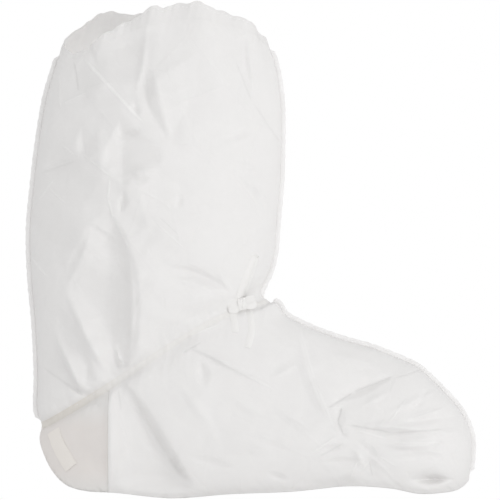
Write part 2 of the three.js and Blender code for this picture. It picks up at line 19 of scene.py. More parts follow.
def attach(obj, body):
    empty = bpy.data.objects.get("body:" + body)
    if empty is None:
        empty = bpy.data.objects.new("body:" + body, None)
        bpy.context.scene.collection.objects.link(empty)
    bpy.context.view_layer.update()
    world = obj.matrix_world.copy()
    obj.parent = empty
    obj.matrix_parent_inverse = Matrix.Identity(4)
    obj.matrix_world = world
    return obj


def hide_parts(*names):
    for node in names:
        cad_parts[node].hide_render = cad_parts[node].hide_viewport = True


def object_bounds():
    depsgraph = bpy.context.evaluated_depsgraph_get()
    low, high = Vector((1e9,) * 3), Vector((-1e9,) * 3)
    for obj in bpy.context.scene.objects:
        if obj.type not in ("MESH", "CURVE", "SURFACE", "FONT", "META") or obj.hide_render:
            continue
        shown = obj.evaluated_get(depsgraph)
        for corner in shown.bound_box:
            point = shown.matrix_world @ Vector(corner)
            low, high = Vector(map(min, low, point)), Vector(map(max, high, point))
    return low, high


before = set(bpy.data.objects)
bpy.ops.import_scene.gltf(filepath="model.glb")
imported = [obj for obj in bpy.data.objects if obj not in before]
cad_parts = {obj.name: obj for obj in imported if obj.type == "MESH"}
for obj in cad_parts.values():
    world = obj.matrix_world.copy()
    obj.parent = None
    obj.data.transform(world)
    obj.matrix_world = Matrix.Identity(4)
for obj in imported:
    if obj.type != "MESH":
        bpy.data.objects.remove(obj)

cad_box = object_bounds()
print(
    "The packed boot reaches from", [round(v, 4) for v in cad_box[0]],
    "to", [round(v, 4) for v in cad_box[1]],
)

# %% [markdown]
# The pattern below is written in millimetres, as a pattern cutter would. One length of the frame, from heel
# seam to toe seam, says how many metres a pattern millimetre is, so the cloth can't drift from the frame.

# %% Pattern millimetres
PATTERN_LENGTH = 417.5  # from the back seam to the toe seam
MM = (cad_box[1][0] - cad_box[0][0]) / PATTERN_LENGTH
print("A pattern millimetre is", round(MM * 1000, 4), "millimetres of the frame")

# %% [markdown]
# ## Camera
# The boot is seen square from its right side and from just above the floor, where a long lens keeps the
# sole nearly a line. The camera is placed from the frame's box: it looks at the middle of the boot.

# %% Camera
LENS = 600.0
PICTURE_WIDTH = 0.4625  # metres across the picture, at the boot's middle plane
CAMERA_ELEVATION = math.radians(2.2)
LOOK_ASIDE, LOOK_UP = -0.001, -0.0024  # metres from the middle of the boot's box
FARTHEST_SEEN = 50.0

box_middle = (cad_box[0] + cad_box[1]) / 2
camera_target = Vector((box_middle[0] + LOOK_ASIDE, 0.0, box_middle[2] + LOOK_UP))
camera = bpy.data.objects.new("camera", bpy.data.cameras.new("camera"))
bpy.context.scene.collection.objects.link(camera)
camera.data.lens = LENS
camera_distance = PICTURE_WIDTH * LENS / camera.data.sensor_width
camera_way = Vector((0.0, -math.cos(CAMERA_ELEVATION), math.sin(CAMERA_ELEVATION)))
camera.location = camera_target + camera_way * camera_distance
camera.rotation_euler = (-camera_way).to_track_quat("-Z", "Y").to_euler()
camera.data.clip_end = FARTHEST_SEEN
bpy.context.scene.camera = camera
print("The camera stands", round(camera_distance, 2), "m away")

# %% [markdown]
# ## Shader maths
# A material is a small graph of nodes. Written as Python it is easier to read: a socket is wrapped so that
# plus, minus and times add their own Math nodes, and any other node comes from one method.

# %% Shader helpers
class Number:
    """A number that varies over a surface. Python's operators on it add Math nodes."""

    def __init__(self, finish, socket):
        self.finish = finish
        self.socket = socket

    def maths(self, operation, *values):
        return self.finish.node("ShaderNodeMath", {"operation": operation}, dict(enumerate(values)))

    def __add__(self, other):
        return self.maths("ADD", self, other)

    def __mul__(self, other):
        return self.maths("MULTIPLY", self, other)

    def __sub__(self, other):
        return self.maths("SUBTRACT", self, other)

    def __rsub__(self, other):
        return self.maths("SUBTRACT", other, self)

    def __pow__(self, other):
        return self.maths("POWER", self, other)

    def at_least(self, other):
        return self.maths("MAXIMUM", self, other)

    def at_most(self, other):
        return self.maths("MINIMUM", self, other)

    def size(self):
        return self.maths("ABSOLUTE", self)

    __radd__ = __add__
    __rmul__ = __mul__


class Finish:
    """A material in the making: one Principled shader and whatever feeds it."""

    def __init__(self, name, **constants):
        self.material = bpy.data.materials.new(name)
        self.material.use_nodes = True
        self.tree = self.material.node_tree
        self.shader = self.tree.nodes["Principled BSDF"]
        for socket, value in constants.items():
            self.shader.inputs[socket.replace("_", " ")].default_value = value

    def node(self, kind, settings, inputs, output=0):
        """Adds a node. Its settings come first, and then the values or links of its sockets."""
        made = self.tree.nodes.new(kind)
        for name, value in settings.items():
            setattr(made, name, value)
        for name, value in inputs.items():
            if isinstance(value, Number):
                self.tree.links.new(value.socket, made.inputs[name])
            else:
                made.inputs[name].default_value = value
        return Number(self, made.outputs[output])

    def feed(self, socket, value):
        self.tree.links.new(value.socket, self.shader.inputs[socket])

    def place(self):
        """Object coordinates: the pattern stays put on the piece wherever the camera stands."""
        return self.node("ShaderNodeTexCoord", {}, {}, "Object")

    def along(self, where, start, way):
        """How far a place lies from the start in the direction of the way, in lengths of the way."""
        way = way / way.length_squared
        dot = {"operation": "DOT_PRODUCT"}
        return self.node("ShaderNodeVectorMath", dot, {0: where, 1: way}, "Value") - start.dot(way)

    def noise(self, where, size, detail=2.0, roughness=0.5, distortion=0.0, stretch=(1, 1, 1)):
        """Noise whose lumps are about size metres across, and longer where stretch is below 1."""
        scaled = self.node("ShaderNodeMapping", {}, {"Vector": where, "Scale": stretch})
        values = {"Vector": scaled, "Scale": 1 / size, "Detail": detail, "Roughness": roughness}
        return self.node("ShaderNodeTexNoise", {}, {**values, "Distortion": distortion})

    def between(self, factor, low, high):
        """A colour between two colours."""
        low, high = (colour if isinstance(colour, Number) else (*colour, 1) for colour in (low, high))
        return self.node("ShaderNodeMix", {"data_type": "RGBA"}, {0: factor, 6: low, 7: high}, 2)

    def bump(self, height, depth, strength=1.0):
        """Turns a height from 0 to 1 into a bumpy surface, depth metres deep."""
        values = {"Height": height, "Distance": depth, "Strength": strength}
        self.feed("Normal", self.node("ShaderNodeBump", {}, values))


# %% [markdown]
# ## Nonwoven cloth
# Nonwoven cloth has no threads. It is a felt of very fine plastic fibres, pressed flat and covered with a
# thin film, so close up it shows thin streaks that cross at all angles and a faint cloudiness where the felt
# is thicker. The streaks are ridged noise, stretched along two directions, and the clouds are soft noise.
# The film also keeps the sharp little creases of its packet: the edges of Voronoi cells, which are straight,
# shown only here and there. The thinnest creases that can be told apart have names: a table says where each
# starts and ends over the side view, and painted light follows them: a painted highlight on raised lines and
# painted shade on sunken ones. All of it reads Object coordinates, so it runs over the seams without a jump.

# %% Finish: nonwoven cloth
CLOUD_SIZE, FLECK_SIZE = 0.022, 0.004
FLECK_SHARE = 0.3
CLOUD_DEPTH = 0.00003
FIBRE_WIDTH, FIBRE_DEPTH = 0.0013, 0.00004
FIBRE_STRETCHES = ((1.0, 1.0, 0.22), (0.3, 1.0, 1.0))
CREASE_DEPTH = 0.00017
BIG_CRUMPLE, SMALL_CRUMPLE = (0.052, 0.0022), (0.023, 0.0018)  # size of the patches, width of the creases
SMALL_CRUMPLE_SHARE = 0.6  # of the depth of the big one
CREASED_HERE = {"patches": 1.3, "level": 0.46, "contrast": 9}
# Painted highlight and shade: how much paler the colour is painted along a raised line, and darker along a
# sunken one.
CREASE_PAINTED_LIGHT = 3.2  # how much paler the cloth is where it is creased sharply
LINE_COLUMNS = ("name", "x1", "z1", "x2", "z2", "rise", "width")
# Each line is a bump, and also painted light in the colour: a painted highlight where the rise is above 0,
# painted shade where it is below.
RIGHT_LINES = (
    ("mouth_diagonal", -157, 408, -95, 343, 0.5, 2.2),
    ("rim_pull_1", -176, 392, -175, 357, 0.27, 1.3),
    ("rim_pull_2", -163, 403, -158, 374, -0.36, 1.6),
    ("rim_pull_arc", -173, 363, -150, 374, 0.25, 1.2),
    ("cross_line_top", -176, 327, -161, 316, 0.32, 1.3),
    ("cross_line", -156, 319, -126, 295, 0.36, 1.4),
    ("cross_shadow", -195, 298, -160, 311, -0.18, 1.6),
    ("back_fork_1", -187, 286, -169, 271, 0.25, 1.3),
    ("back_fork_2", -196, 273, -180, 295, 0.23, 1.3),
    ("back_line", -204, 222, -186, 202, 0.27, 1.5),
    ("crossing_ring_top", -129, 296, -131, 275, 0.32, 1.4),
    ("crossing_ring_foot", -131, 277, -126, 258, 0.32, 1.4),
    ("diamond_right_top", -125, 258, -111, 230, 0.32, 1.6),
    ("shin_line_top", -14, 403, 1.5, 364, -0.2, 1.6),
    ("shin_line_foot", 1, 366, 30, 323, -0.2, 1.6),
    ("mid_double_1", -88, 256, -61, 231, 0.16, 1.2),
    ("mid_double_2", -84, 260, -66, 243, -0.16, 1.2),
    ("tape_pleat_1", -112, 115, -87, 132, 0.27, 1.4),
    ("tape_pleat_2", -70, 141, -52, 152, 0.27, 1.3),
    ("tape_pleat_3", -54, 151, -28, 160, 0.23, 1.3),
    ("tape_pleat_4", -63, 134, -44, 145, -0.27, 1.3),
    ("side_line_top", -61, 141, -28, 126, -0.14, 1.8),
    ("side_line_foot", -30, 128, 23, 100, 0.36, 1.8),
    ("back_tuck_line", -194, 121, -150, 91, -0.27, 1.8),
    ("heel_tuck_line", -143, 87, -130, 78, 0.32, 1.4),
    ("heel_gather_line", -122, 101, -119, 80, -0.25, 1.6),
    ("instep_line_top", 44, 162, 61, 103, 0.13, 1.5),
    ("instep_line_foot", 60, 106, 78, 63, 0.18, 1.5),
    ("valley_line_back", 70, 83, 95, 98, -0.36, 1.7),
    ("valley_line_front", 92, 97, 134, 113, -0.36, 1.7),
    ("hook_top", 70, 84, 84, 84, 0.27, 1.2),
    ("hook_back", 84, 84, 80, 71, -0.32, 1.3),
    ("hook_foot", 80, 72, 85, 60, -0.32, 1.3),
    ("low_line_1", 57, 43, 79, 58, 0.32, 1.3),
    ("low_line_2", 61, 38, 86, 52, -0.27, 1.3),
    ("toe_line_1", 86, 69, 132, 61, -0.36, 1.5),
    ("toe_line_2", 128, 61, 179, 64, -0.36, 1.5),
    ("toe_line_3", 126, 69, 144, 92, 0.23, 1.2),
    ("toe_line_4", 146, 74, 179, 84, -0.23, 1.3),
    ("toe_line_5", 96, 64, 128, 55, 0.27, 1.3),
    ("toe_line_6", 134, 52, 176, 52, 0.23, 1.3),
    ("vamp_line_back", 47, 163, 98, 145, -0.27, 1.3),
    ("vamp_line_front", 97, 146, 155, 122, -0.27, 1.3),
    ("vamp_line_toe", 132, 110, 168, 120, -0.27, 1.5),
    ("crinkle_1", 92, 20, 98, 35, 0.23, 1.2),
    ("crinkle_2", 100, 23, 109, 35, 0.23, 1.2),
    ("crinkle_3", 109, 35, 112, 20, -0.23, 1.2),
    ("crinkle_4", 118, 40, 134, 30, 0.23, 1.2),
)


def fibre_streaks(finish, where, width):
    """Fine streaks, from 0 between the fibres to 1 on them, in two crossing directions."""
    streaks = []
    for stretch in FIBRE_STRETCHES:
        lumps = finish.noise(where, width, 3.0, 0.6, 0.8, stretch)
        streaks.append((1 - (lumps * 2 - 1).size()) ** 3)
    return streaks[0].at_least(streaks[1])


def film_crumple(finish, where, size, width):
    """Thin straight creases, from 0 between them to 1 on them, between patches about size metres across."""
    to_edge = {"feature": "DISTANCE_TO_EDGE"}
    edge = finish.node("ShaderNodeTexVoronoi", to_edge, {"Vector": where, "Scale": 1 / size})
    patches = finish.noise(where, size * CREASED_HERE["patches"], 1.0)
    here = (patches - CREASED_HERE["level"]) * CREASED_HERE["contrast"]
    return (1 - edge * (size / width)).at_least(0) * here.at_least(0).at_most(1)


def pressed_line(finish, where, row):
    """The height of one line of the table: highest on the line, and none beyond its width and its ends."""
    line = dict(zip(LINE_COLUMNS, row))
    middle = Vector((line["x1"] + line["x2"], 0, line["z1"] + line["z2"])) * MM / 2
    way = Vector((line["x2"] - line["x1"], 0, line["z2"] - line["z1"])) * MM / 2
    aside = Vector((-way.z, 0, way.x)).normalized() * line["width"] * MM
    ends = ((1 - finish.along(where, middle, way).size()) * 3).at_most(1)
    return (ends - finish.along(where, middle, aside).size()).at_least(0) * (line["rise"] * MM)


def nonwoven(name, thin, thick, roughness, creases=CREASE_DEPTH, lines=(), darker=None):
    """Cloth with a colour for thin and thick places. It can have painted shade, darker along a way from a
    start.
    """
    finish = Finish(name, IOR=1.45, Specular_IOR_Level=0.35)
    where = finish.place()
    clouds = finish.noise(where, CLOUD_SIZE, 3.0, 0.55) * (1 - FLECK_SHARE)
    clouds = clouds + finish.noise(where, FLECK_SIZE, 2.0) * FLECK_SHARE
    marks = sum(pressed_line(finish, where, row) for row in lines)
    # The lines' painted highlight and shade make a place paler or darker than the cloth, but a Mix node stops
    # at 0 and 1. So the cloth's own colours take the middle third of the mix, and the colours at its ends lie
    # as far again outside them.
    tone = (clouds + marks * (CREASE_PAINTED_LIGHT / MM) + 1) * (1 / 3)
    thinner, thicker = ([2 * a - b for a, b in zip(*pair)] for pair in ((thin, thick), (thick, thin)))
    colour = finish.between(tone, thinner, thicker)
    if darker:
        start, way, dark = darker
        # Painted shade: the colour turns darker along the way from the start.
        colour = finish.between(finish.along(where, start, way).at_least(0).at_most(1), colour, dark)
    finish.feed("Base Color", colour)
    finish.feed("Roughness", clouds * 0.16 + (roughness - 0.08))
    height = marks + fibre_streaks(finish, where, FIBRE_WIDTH) * FIBRE_DEPTH + clouds * CLOUD_DEPTH
    if creases:
        elsewhere = finish.node("ShaderNodeMapping", {}, {"Vector": where, "Location": (0.3, 0.1, 0.2)})
        height = height + film_crumple(finish, where, *BIG_CRUMPLE) * creases
        height = height - film_crumple(finish, elsewhere, *SMALL_CRUMPLE) * (creases * SMALL_CRUMPLE_SHARE)
    finish.bump(height, 1.0)
    return finish.material


CLOTH_LOOK = (0.805, 0.795, 0.788), (0.855, 0.846, 0.838), 0.62
cloth_finish = nonwoven("nonwoven_cloth", *CLOTH_LOOK)
# The right side carries the table's lines: bumps with painted highlight and shade in the colour.
right_painted_crease_finish = nonwoven("nonwoven_cloth_right_painted_creases", *CLOTH_LOOK, lines=RIGHT_LINES)
print("Made", cloth_finish.name)

# %% [markdown]
# ## The other finishes
# The sole is the same cloth with a thicker film that grips the floor. The film is smoother, pressed in fine
# pebbles and slightly warm, most of all over the middle of the heel, where its colour also holds painted shade:
# the heel turns away from the lamp. The hem, the seam edges and the tapes are strips of softer cloth, and the
# strip at the heel is a beige reinforcing tape. The seam edges are painted paler than the panels, as painted
# light that lifts the shade in the narrow gaps along the seams. The ankle tape has painted shade behind, where
# the cloth over it keeps the light off.

# %% Finishes: sole, hem, seams and tapes
# Over the middle of the heel the sole is warm, the film's own tint, and darker, which is painted shade of the
# heel.
HEEL_MIDDLE = Vector((0, 0, 0.045))
HEEL_WARMTH_AND_SHADE = Vector((0, 0, 0.02))  # how far the warm colour reaches up and down from there
PEBBLES_PER_METRE = 620.0
PEBBLE_SHARE, PEBBLE_DEPTH = 0.6, 0.00012


def coated_sole():
    """Warm over the middle of the heel, with painted shade of the heel there too, and greyer towards the floor
    and the tape.
    """
    finish = Finish("coated_sole", IOR=1.48, Specular_IOR_Level=0.45)
    where = finish.place()
    clouds = finish.noise(where, 0.03, 3.0, 0.6)
    # Painted shade: the warm colours are darker than the cloth, where the heel turns away from the lamp.
    warm_and_shaded = finish.between(clouds, (0.768, 0.731, 0.706), (0.823, 0.79, 0.766))
    grey = (finish.along(where, HEEL_MIDDLE, HEEL_WARMTH_AND_SHADE).size() - 1).at_least(0).at_most(1)
    finish.feed("Base Color", finish.between(grey, warm_and_shaded, (0.79, 0.779, 0.764)))
    finish.feed("Roughness", clouds * 0.2 + 0.38)
    values = {"Vector": where, "Scale": PEBBLES_PER_METRE}
    pebbles = finish.node("ShaderNodeTexVoronoi", {"feature": "SMOOTH_F1"}, values)
    finish.bump(pebbles * PEBBLE_SHARE + clouds * (1 - PEBBLE_SHARE), PEBBLE_DEPTH, 0.6)
    return finish.material


sole_finish = coated_sole()
# Painted shade on the ankle tape: darker behind, where the cloth over it keeps the light off.
TAPE_PAINTED_SHADE = Vector((-0.12, 0, 0)), Vector((-0.045, 0, 0)), (0.76, 0.732, 0.69)
hem_finish = nonwoven("elastic_hem", (0.795, 0.785, 0.778), (0.85, 0.84, 0.832), 0.66, creases=0)
# The seam edges are the panels' own cloth with painted light: paler than the panels, to lift the shade in the
# narrow gaps along the seams.
seam_painted_light_finish = nonwoven("seam_edge", (0.87, 0.862, 0.856), (0.91, 0.902, 0.896), 0.68, creases=0)
tape_finish = nonwoven("tie_tape", (0.82, 0.81, 0.797), (0.87, 0.86, 0.848), 0.64, creases=0)
ankle_tape_finish = nonwoven(
    "ankle_tape", (0.79, 0.777, 0.76), (0.845, 0.833, 0.817), 0.64, creases=0, darker=TAPE_PAINTED_SHADE
)
heel_tape_finish = nonwoven("heel_tape", (0.83, 0.793, 0.752), (0.87, 0.836, 0.796), 0.5, creases=0)


def sewing_thread():
    finish = Finish("sewing_thread", Roughness=0.6, Specular_IOR_Level=0.3)
    where = finish.place()
    twist = finish.noise(where, 0.0006, 2.0)
    finish.feed("Base Color", finish.between(twist, (0.87, 0.862, 0.858), (0.93, 0.922, 0.918)))
    return finish.material


thread_finish = sewing_thread()
print("Made", len(bpy.data.materials), "materials")

# %% [markdown]
# ## The boot's cuts
# A boot has no simple outline to extrude, so it is described by cuts square to its middle plane, one after
# another from the mouth to the toe, turning like a fan round the ankle. Each cut says where it touches the
# calf, heel or sole, and where it touches the shin, instep or toe. A smooth curve runs through the rows. Box
# modelling could give the same form, but its faces would not follow the boot from hem to toe as the cloth does.

# %% Sections from the mouth to the toe
SECTION_COLUMNS = ("name", "backX", "backZ", "frontX", "frontZ", "halfWidth", "soleHalf", "pinch", "arch")
SECTION_ROWS = (
    ("mouth", -174, 411, 14, 424, 43, 0, 1.1, 0),
    ("under_mouth", -181, 392, 23.5, 396, 50, 0, 1.2, 0),
    ("shoulder", -189, 366, 28.5, 360, 57, 0, 1.3, 0),
    ("upper_calf", -195.5, 328, 28.5, 319, 62, 0, 1.4, 0),
    ("calf", -200, 291, 27.5, 287, 64, 0, 1.4, 0),
    ("mid_calf", -204, 247, 24.5, 254, 64, 0, 1.4, 0),
    ("lower_calf", -203, 204, 22.5, 227, 62, 0, 1.4, 1),
    ("shin_base", -199, 158, 18, 208, 59, 0, 1.35, 4),
    ("above_ankle", -197, 112, 12.5, 196, 55, 0, 1.25, 8),
    ("over_tape", -197.5, 82, 9.5, 187, 49, 0, 1.15, 11),
    ("ankle_tape", -194, 65, 16, 180, 43, 0, 1.05, 11),
    ("heel_top", -195, 52, 29, 169, 48, 9, 1.05, 10),
    ("heel_back", -191, 39, 45, 160, 51, 16, 1.05, 7),
    ("heel_curve", -183, 24, 62, 152.5, 53, 24, 0.95, 4),
    ("heel_corner", -170, 11.5, 80, 146, 54, 32, 0.95, 2),
    ("heel_floor", -151, 6.2, 97, 141, 55, 38, 0.95, 0),
    ("heel_front", -122, 4.6, 113, 136.5, 55, 41, 0.95, 0),
    ("waist", -72, 0, 128.5, 130.5, 56, 43, 0.95, 0),
    ("arch_back", -18, 3.9, 143, 124.5, 57, 45, 0.95, 0),
    ("arch", 38, 6.3, 155, 118.5, 57, 47, 0.95, 0),
    ("arch_front", 88, 11.3, 168, 107, 57, 48, 0.95, 0),
    ("ball", 127, 9.5, 181, 94, 55, 47, 0.95, 0),
    ("toe_base", 154, 4.3, 192.5, 81, 50, 43, 0.95, 0),
    ("toe", 175, 4.3, 200.5, 67, 41, 35, 0.95, 0),
    ("toe_curve", 191, 6.5, 204.5, 54, 28, 23, 1.0, 0),
    ("toe_front", 201, 13, 205, 42, 13, 9, 1.0, 0),
    ("toe_tip", 202.8, 19, 204.9, 37, 0.5, 0.3, 1.0, 0),
)
SECTION_NAMES = [row[0] for row in SECTION_ROWS]
SECTIONS = {
    column: np.array([row[n] for row in SECTION_ROWS], float) for n, column in enumerate(SECTION_COLUMNS) if n
}
ANKLE = SECTION_NAMES.index("ankle_tape")
TOE_END = len(SECTION_ROWS) - 1
print(len(SECTION_ROWS), "sections, with the ankle tape at number", ANKLE)

# %% [markdown]
# Each side panel is half of every cut, from the back to the front. Cloth doesn't stretch as rubber does, so a
# place on it is given by a length along the half cut, as a tailor would measure it. That keeps the rows of
# faces even, which equal steps in angle would not.

# %% Half a section, flattened to lengths
HALF_STEPS = 60
FLAT_STEPS = 6
LEAST_HALF_WIDTH = 0.5
MOST_FLAT = 0.97  # of the half width


def curve_between(a, b, c, d, share):
    """A smooth curve from b to c, which leaves b and reaches c in the directions that a and d give it."""
    curving = 2 * a - 5 * b + 4 * c - d + (3 * (b - c) + d - a) * share
    return b + 0.5 * share * (c - a + share * curving)


def section_value(column, place):
    """A column of the table at any places along the boot, on a smooth curve through the rows."""
    place = np.asarray(place, float)
    first = np.clip(np.floor(place), 0, TOE_END - 1).astype(int)
    rows = (SECTIONS[column][np.clip(first + n, 0, TOE_END)] for n in (-1, 0, 1, 2))
    return curve_between(*rows, place - first)


def half_sections(place):
    """For each place: shares of the way to the front, half widths and lengths so far, and the flat part."""
    across = section_value("frontX", place) - section_value("backX", place)
    rise = section_value("frontZ", place) - section_value("backZ", place)
    wide = np.maximum(section_value("halfWidth", place), LEAST_HALF_WIDTH)
    flat = np.clip(section_value("soleHalf", place), 0, MOST_FLAT * wide)
    pinch = section_value("pinch", place)
    start = np.arcsin((flat / wide) ** (1 / pinch))[:, None]
    angle = start + (math.pi - start) * np.linspace(0, 1, HALF_STEPS + 1)
    share = (np.cos(start) - np.cos(angle)) / (1 + np.cos(start))
    y = wide[:, None] * np.maximum(np.sin(angle), 0) ** pinch[:, None]
    share = np.hstack([np.zeros((len(place), FLAT_STEPS)), share])
    y = np.hstack([flat[:, None] * np.arange(FLAT_STEPS) / FLAT_STEPS, y])
    steps = np.hypot(np.diff(share) * np.hypot(across, rise)[:, None], np.diff(y))
    length = np.hstack([np.zeros((len(place), 1)), np.cumsum(steps, axis=1)])
    return share, y, length, flat


def whole_length(place):
    return half_sections(place)[2][:, -1]


CALF = np.array([float(SECTION_NAMES.index("calf"))])
print("Half the calf is", round(float(whole_length(CALF)[0])), "mm round")

# %% [markdown]
# ## The smooth boot
# The mouth isn't cut straight: its edge rises in the middle of each side, and it dips a little between two
# ruffles of the gathered hem. The smooth boot is a function of where you are along the boot and how far
# round the cut you have gone, so any piece can ask it for a point. Just below the ankle tape, the tape has
# drawn the instep up into one ruffle.

# %% Mouth edge and smooth boot
MOUTH_LIFT = {
    "share": (0.0, 0.06, 0.12, 0.19, 0.3, 0.42, 0.47, 0.5, 0.565, 0.68, 0.78, 0.87, 0.94, 1.0),
    "right": (5, -3, 2, 11, 22, 33, 37, 33.5, 38, 36.5, 28.5, 20, 14, 0),
    "left": (5, 18, 26, 33, 31, 28, 27, 26.5, 26, 23, 18, 13, 9, 0),
}
MOUTH_REACH = 3.2  # sections over which the lift fades out down the leg
MOUTH_SCALLOP = 1.6
SCALLOP_WAVES = (37.0, 23.0, 14.0)
SCALLOP_REACH = 0.4
SEAM_ENDS = 6  # the scallops are full from a sixth of the way round
INSTEP_RUFFLE = 6.5
INSTEP_PLACE, INSTEP_REACH = 0.72, 0.34  # sections beyond the tape, and the ruffle's half width
INSTEP_FROM, INSTEP_OVER = 0.82, 0.18  # shares of the way round, up to the instep
PLACE_STEP, LENGTH_STEP = 0.03, 1.2
SEAM_BAND = 0.8  # so near a seam the normal stays in the middle plane
RIGHT, LEFT = -1, 1


def smooth(x):
    """Eases from 0 to 1."""
    x = np.clip(x, 0, 1)
    return x * x * (3 - 2 * x)


def ramp(x, start, end):
    """Eases from 0 at the start to 1 at the end."""
    return smooth((x - start) / (end - start))


def waves(where, *lengths):
    """Uneven waves from -1 to 1: sines of several lengths added up."""
    total = sum(np.sin(where * 2 * math.pi / length + 1.7 * n) for n, length in enumerate(lengths))
    return total / len(lengths)


def unit(vectors):
    return vectors / np.linalg.norm(vectors, axis=-1, keepdims=True)


def mouth_lift(share, side):
    lifts = MOUTH_LIFT["right" if side == RIGHT else "left"]
    return np.interp(share, MOUTH_LIFT["share"], lifts)


def smooth_points(place, length, side):
    """Points of the smooth boot: place has one value a row, and length any number a row."""
    shares, ys, lengths, _ = half_sections(place)
    whole = lengths[:, -1:]
    wanted = np.clip(length, 0, whole)
    share = np.array([np.interp(w, l, s) for w, l, s in zip(wanted, lengths, shares)])
    y = np.array([np.interp(w, l, s) for w, l, s in zip(wanted, lengths, ys)])
    along = np.asarray(place)[:, None]
    columns = ("backX", "backZ", "frontX", "frontZ", "arch")
    back_x, back_z, front_x, front_z, arch = (section_value(name, place)[:, None] for name in columns)
    x = back_x + (front_x - back_x) * share
    line = back_z + (front_z - back_z) * share
    fade = (1 - np.clip(along / MOUTH_REACH, 0, 1)) ** 2
    dip = MOUTH_SCALLOP * waves(length + 40 * side, *SCALLOP_WAVES) * np.exp(-along / SCALLOP_REACH)
    lift = mouth_lift(share, side) * fade - dip * smooth(share * SEAM_ENDS) * smooth((1 - share) * SEAM_ENDS)
    ruffle = INSTEP_RUFFLE * np.exp(-(((along - ANKLE - INSTEP_PLACE) / INSTEP_REACH) ** 2))
    lift = lift + ruffle * smooth((share - INSTEP_FROM) / INSTEP_OVER)
    z = np.maximum(line + lift + arch * np.sin(math.pi * share**2), 0)
    return np.stack([x, side * y, z], axis=-1)


def normals_of(surface, place, length, side):
    """Outward normals of a surface function, from points a little further along and round."""
    whole = whole_length(place)[:, None]
    above, below = np.maximum(place - PLACE_STEP, 0), np.minimum(place + PLACE_STEP, TOE_END)
    before, after = np.maximum(length - LENGTH_STEP, 0), np.minimum(length + LENGTH_STEP, whole)
    down = surface(below, length / whole * whole_length(below)[:, None], side)
    down -= surface(above, length / whole * whole_length(above)[:, None], side)
    round_it = surface(place, after, side) - surface(place, before, side)
    normal = np.cross(down, round_it) * -side
    seamed = (length < SEAM_BAND) | (length > whole - SEAM_BAND)
    normal[..., 1] = np.where(seamed, 0, normal[..., 1])
    return unit(normal)


backs = smooth_points(np.array([0.0, ANKLE]), np.zeros((2, 1)), RIGHT)[:, 0]
print("The mouth's back is at", backs[0].round(1), "and the tape's at", backs[1].round(1))

# %% [markdown]
# ## Folds
# Each fold is a crease over the side view of the boot, from one end to the other, bowed at its middle. It
# rises as a ridge or falls as a valley, and its two sides have widths of their own, so a narrow side makes a
# sharp step and a wide one a calm facet. A film-faced cloth doesn't roll softly like wool: it buckles into
# flat facets with crisp edges, so the height comes to a point at the crease and eases out at the foot.
#
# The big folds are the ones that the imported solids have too. The dents are wide, shallow hollows with a crisp
# rim, where a whole patch of the cloth has snapped inwards.

# %% Big folds
FOLD_COLUMNS = ("name", "x1", "z1", "x2", "z2", "bow", "rise", "leftWidth", "rightWidth")
RIGHT_FOLDS = (
    ("calf_shoulder", -92, 380, -127, 240, 0, 8, 64, 50),
    ("mouth_valley", -92, 400, -70, 322, 3, -5, 22, 16),
    ("top_plate", -178, 404, -190, 300, 0, 11, 14, 64),
    ("mouth_diagonal", -164, 412, -94, 330, 0, 5, 22, 18),
    ("calf_cross_ridge", -184, 334, -120, 296, 0, 5, 18, 18),
    ("calf_cross_valley", -200, 292, -150, 316, 0, -5, 18, 18),
    ("diamond_upper_ridge", -128, 266, -172, 186, 4, 7, 34, 26),
    ("diamond_lower_ridge", -174, 204, -129, 96, 0, 7, 14, 22),
    ("diamond_floor", -128, 274, -123, 98, -3, -2, 34, 24),
    ("diamond_front_ridge", -124, 264, -116, 100, 16, 6, 20, 40),
    ("back_tuck", -198, 132, -142, 88, 0, -5, 18, 16),
    ("shin_diagonal", -34, 424, 34, 300, -4, -2.6, 20, 18),
    ("shin_hollow", -24, 306, 18, 248, 0, -2.2, 22, 20),
    ("ankle_arc", -96, 214, -8, 186, 8, -3.6, 18, 20),
    ("ankle_puff", -72, 176, -10, 186, 4, 4, 18, 16),
    ("heel_ridge", -129, 104, -129, 8, 0, 5, 26, 20),
    ("heel_channel", -116, 112, -46, 0, -8, -2, 30, 16),
    ("side_ridge", -64, 142, 34, 98, 4, 2.2, 18, 18),
    ("instep_ridge", 44, 162, 84, 60, 0, 1.6, 28, 22),
    ("instep_valley", 70, 82, 142, 116, 0, -3, 18, 18),
    ("toe_ridge", 88, 70, 186, 62, 0, 5, 16, 16),
    ("toe_pocket", 138, 16, 188, 17, 0, -9, 13, 12),
)
LEFT_FOLDS = (
    ("calf_shoulder", -84, 390, -112, 250, 0, 7, 60, 50),
    ("mouth_valley", -70, 408, -56, 330, -3, -6, 18, 18),
    ("mouth_diagonal", -140, 416, -78, 330, 0, 5, 20, 18),
    ("calf_cross_ridge", -188, 318, -124, 282, 0, 5, 18, 18),
    ("calf_cross_valley", -198, 262, -146, 240, 0, -5, 18, 20),
    ("long_ridge", -120, 256, -158, 146, -6, 8, 28, 28),
    ("long_valley", -112, 272, -126, 98, 6, -13, 30, 26),
    ("front_ridge", -96, 256, -104, 100, 14, 6, 22, 40),
    ("shin_diagonal", -22, 414, 32, 316, 0, -5, 20, 18),
    ("shin_hollow", -34, 294, 16, 244, 0, -5, 22, 20),
    ("ankle_arc", -90, 204, -8, 190, 8, -7, 18, 20),
    ("ankle_puff", -62, 168, -10, 182, 4, 6, 18, 16),
    ("heel_ridge", -133, 102, -130, 8, 0, 6, 24, 20),
    ("heel_channel", -116, 104, -64, 0, -6, -10, 26, 24),
    ("side_ridge", -52, 134, 42, 90, -4, 5, 18, 18),
    ("instep_ridge", 54, 158, 94, 58, 0, 5, 26, 22),
    ("instep_valley", 78, 76, 148, 106, 0, -5, 18, 18),
    ("toe_ridge", 96, 62, 186, 56, 0, 5, 16, 16),
)
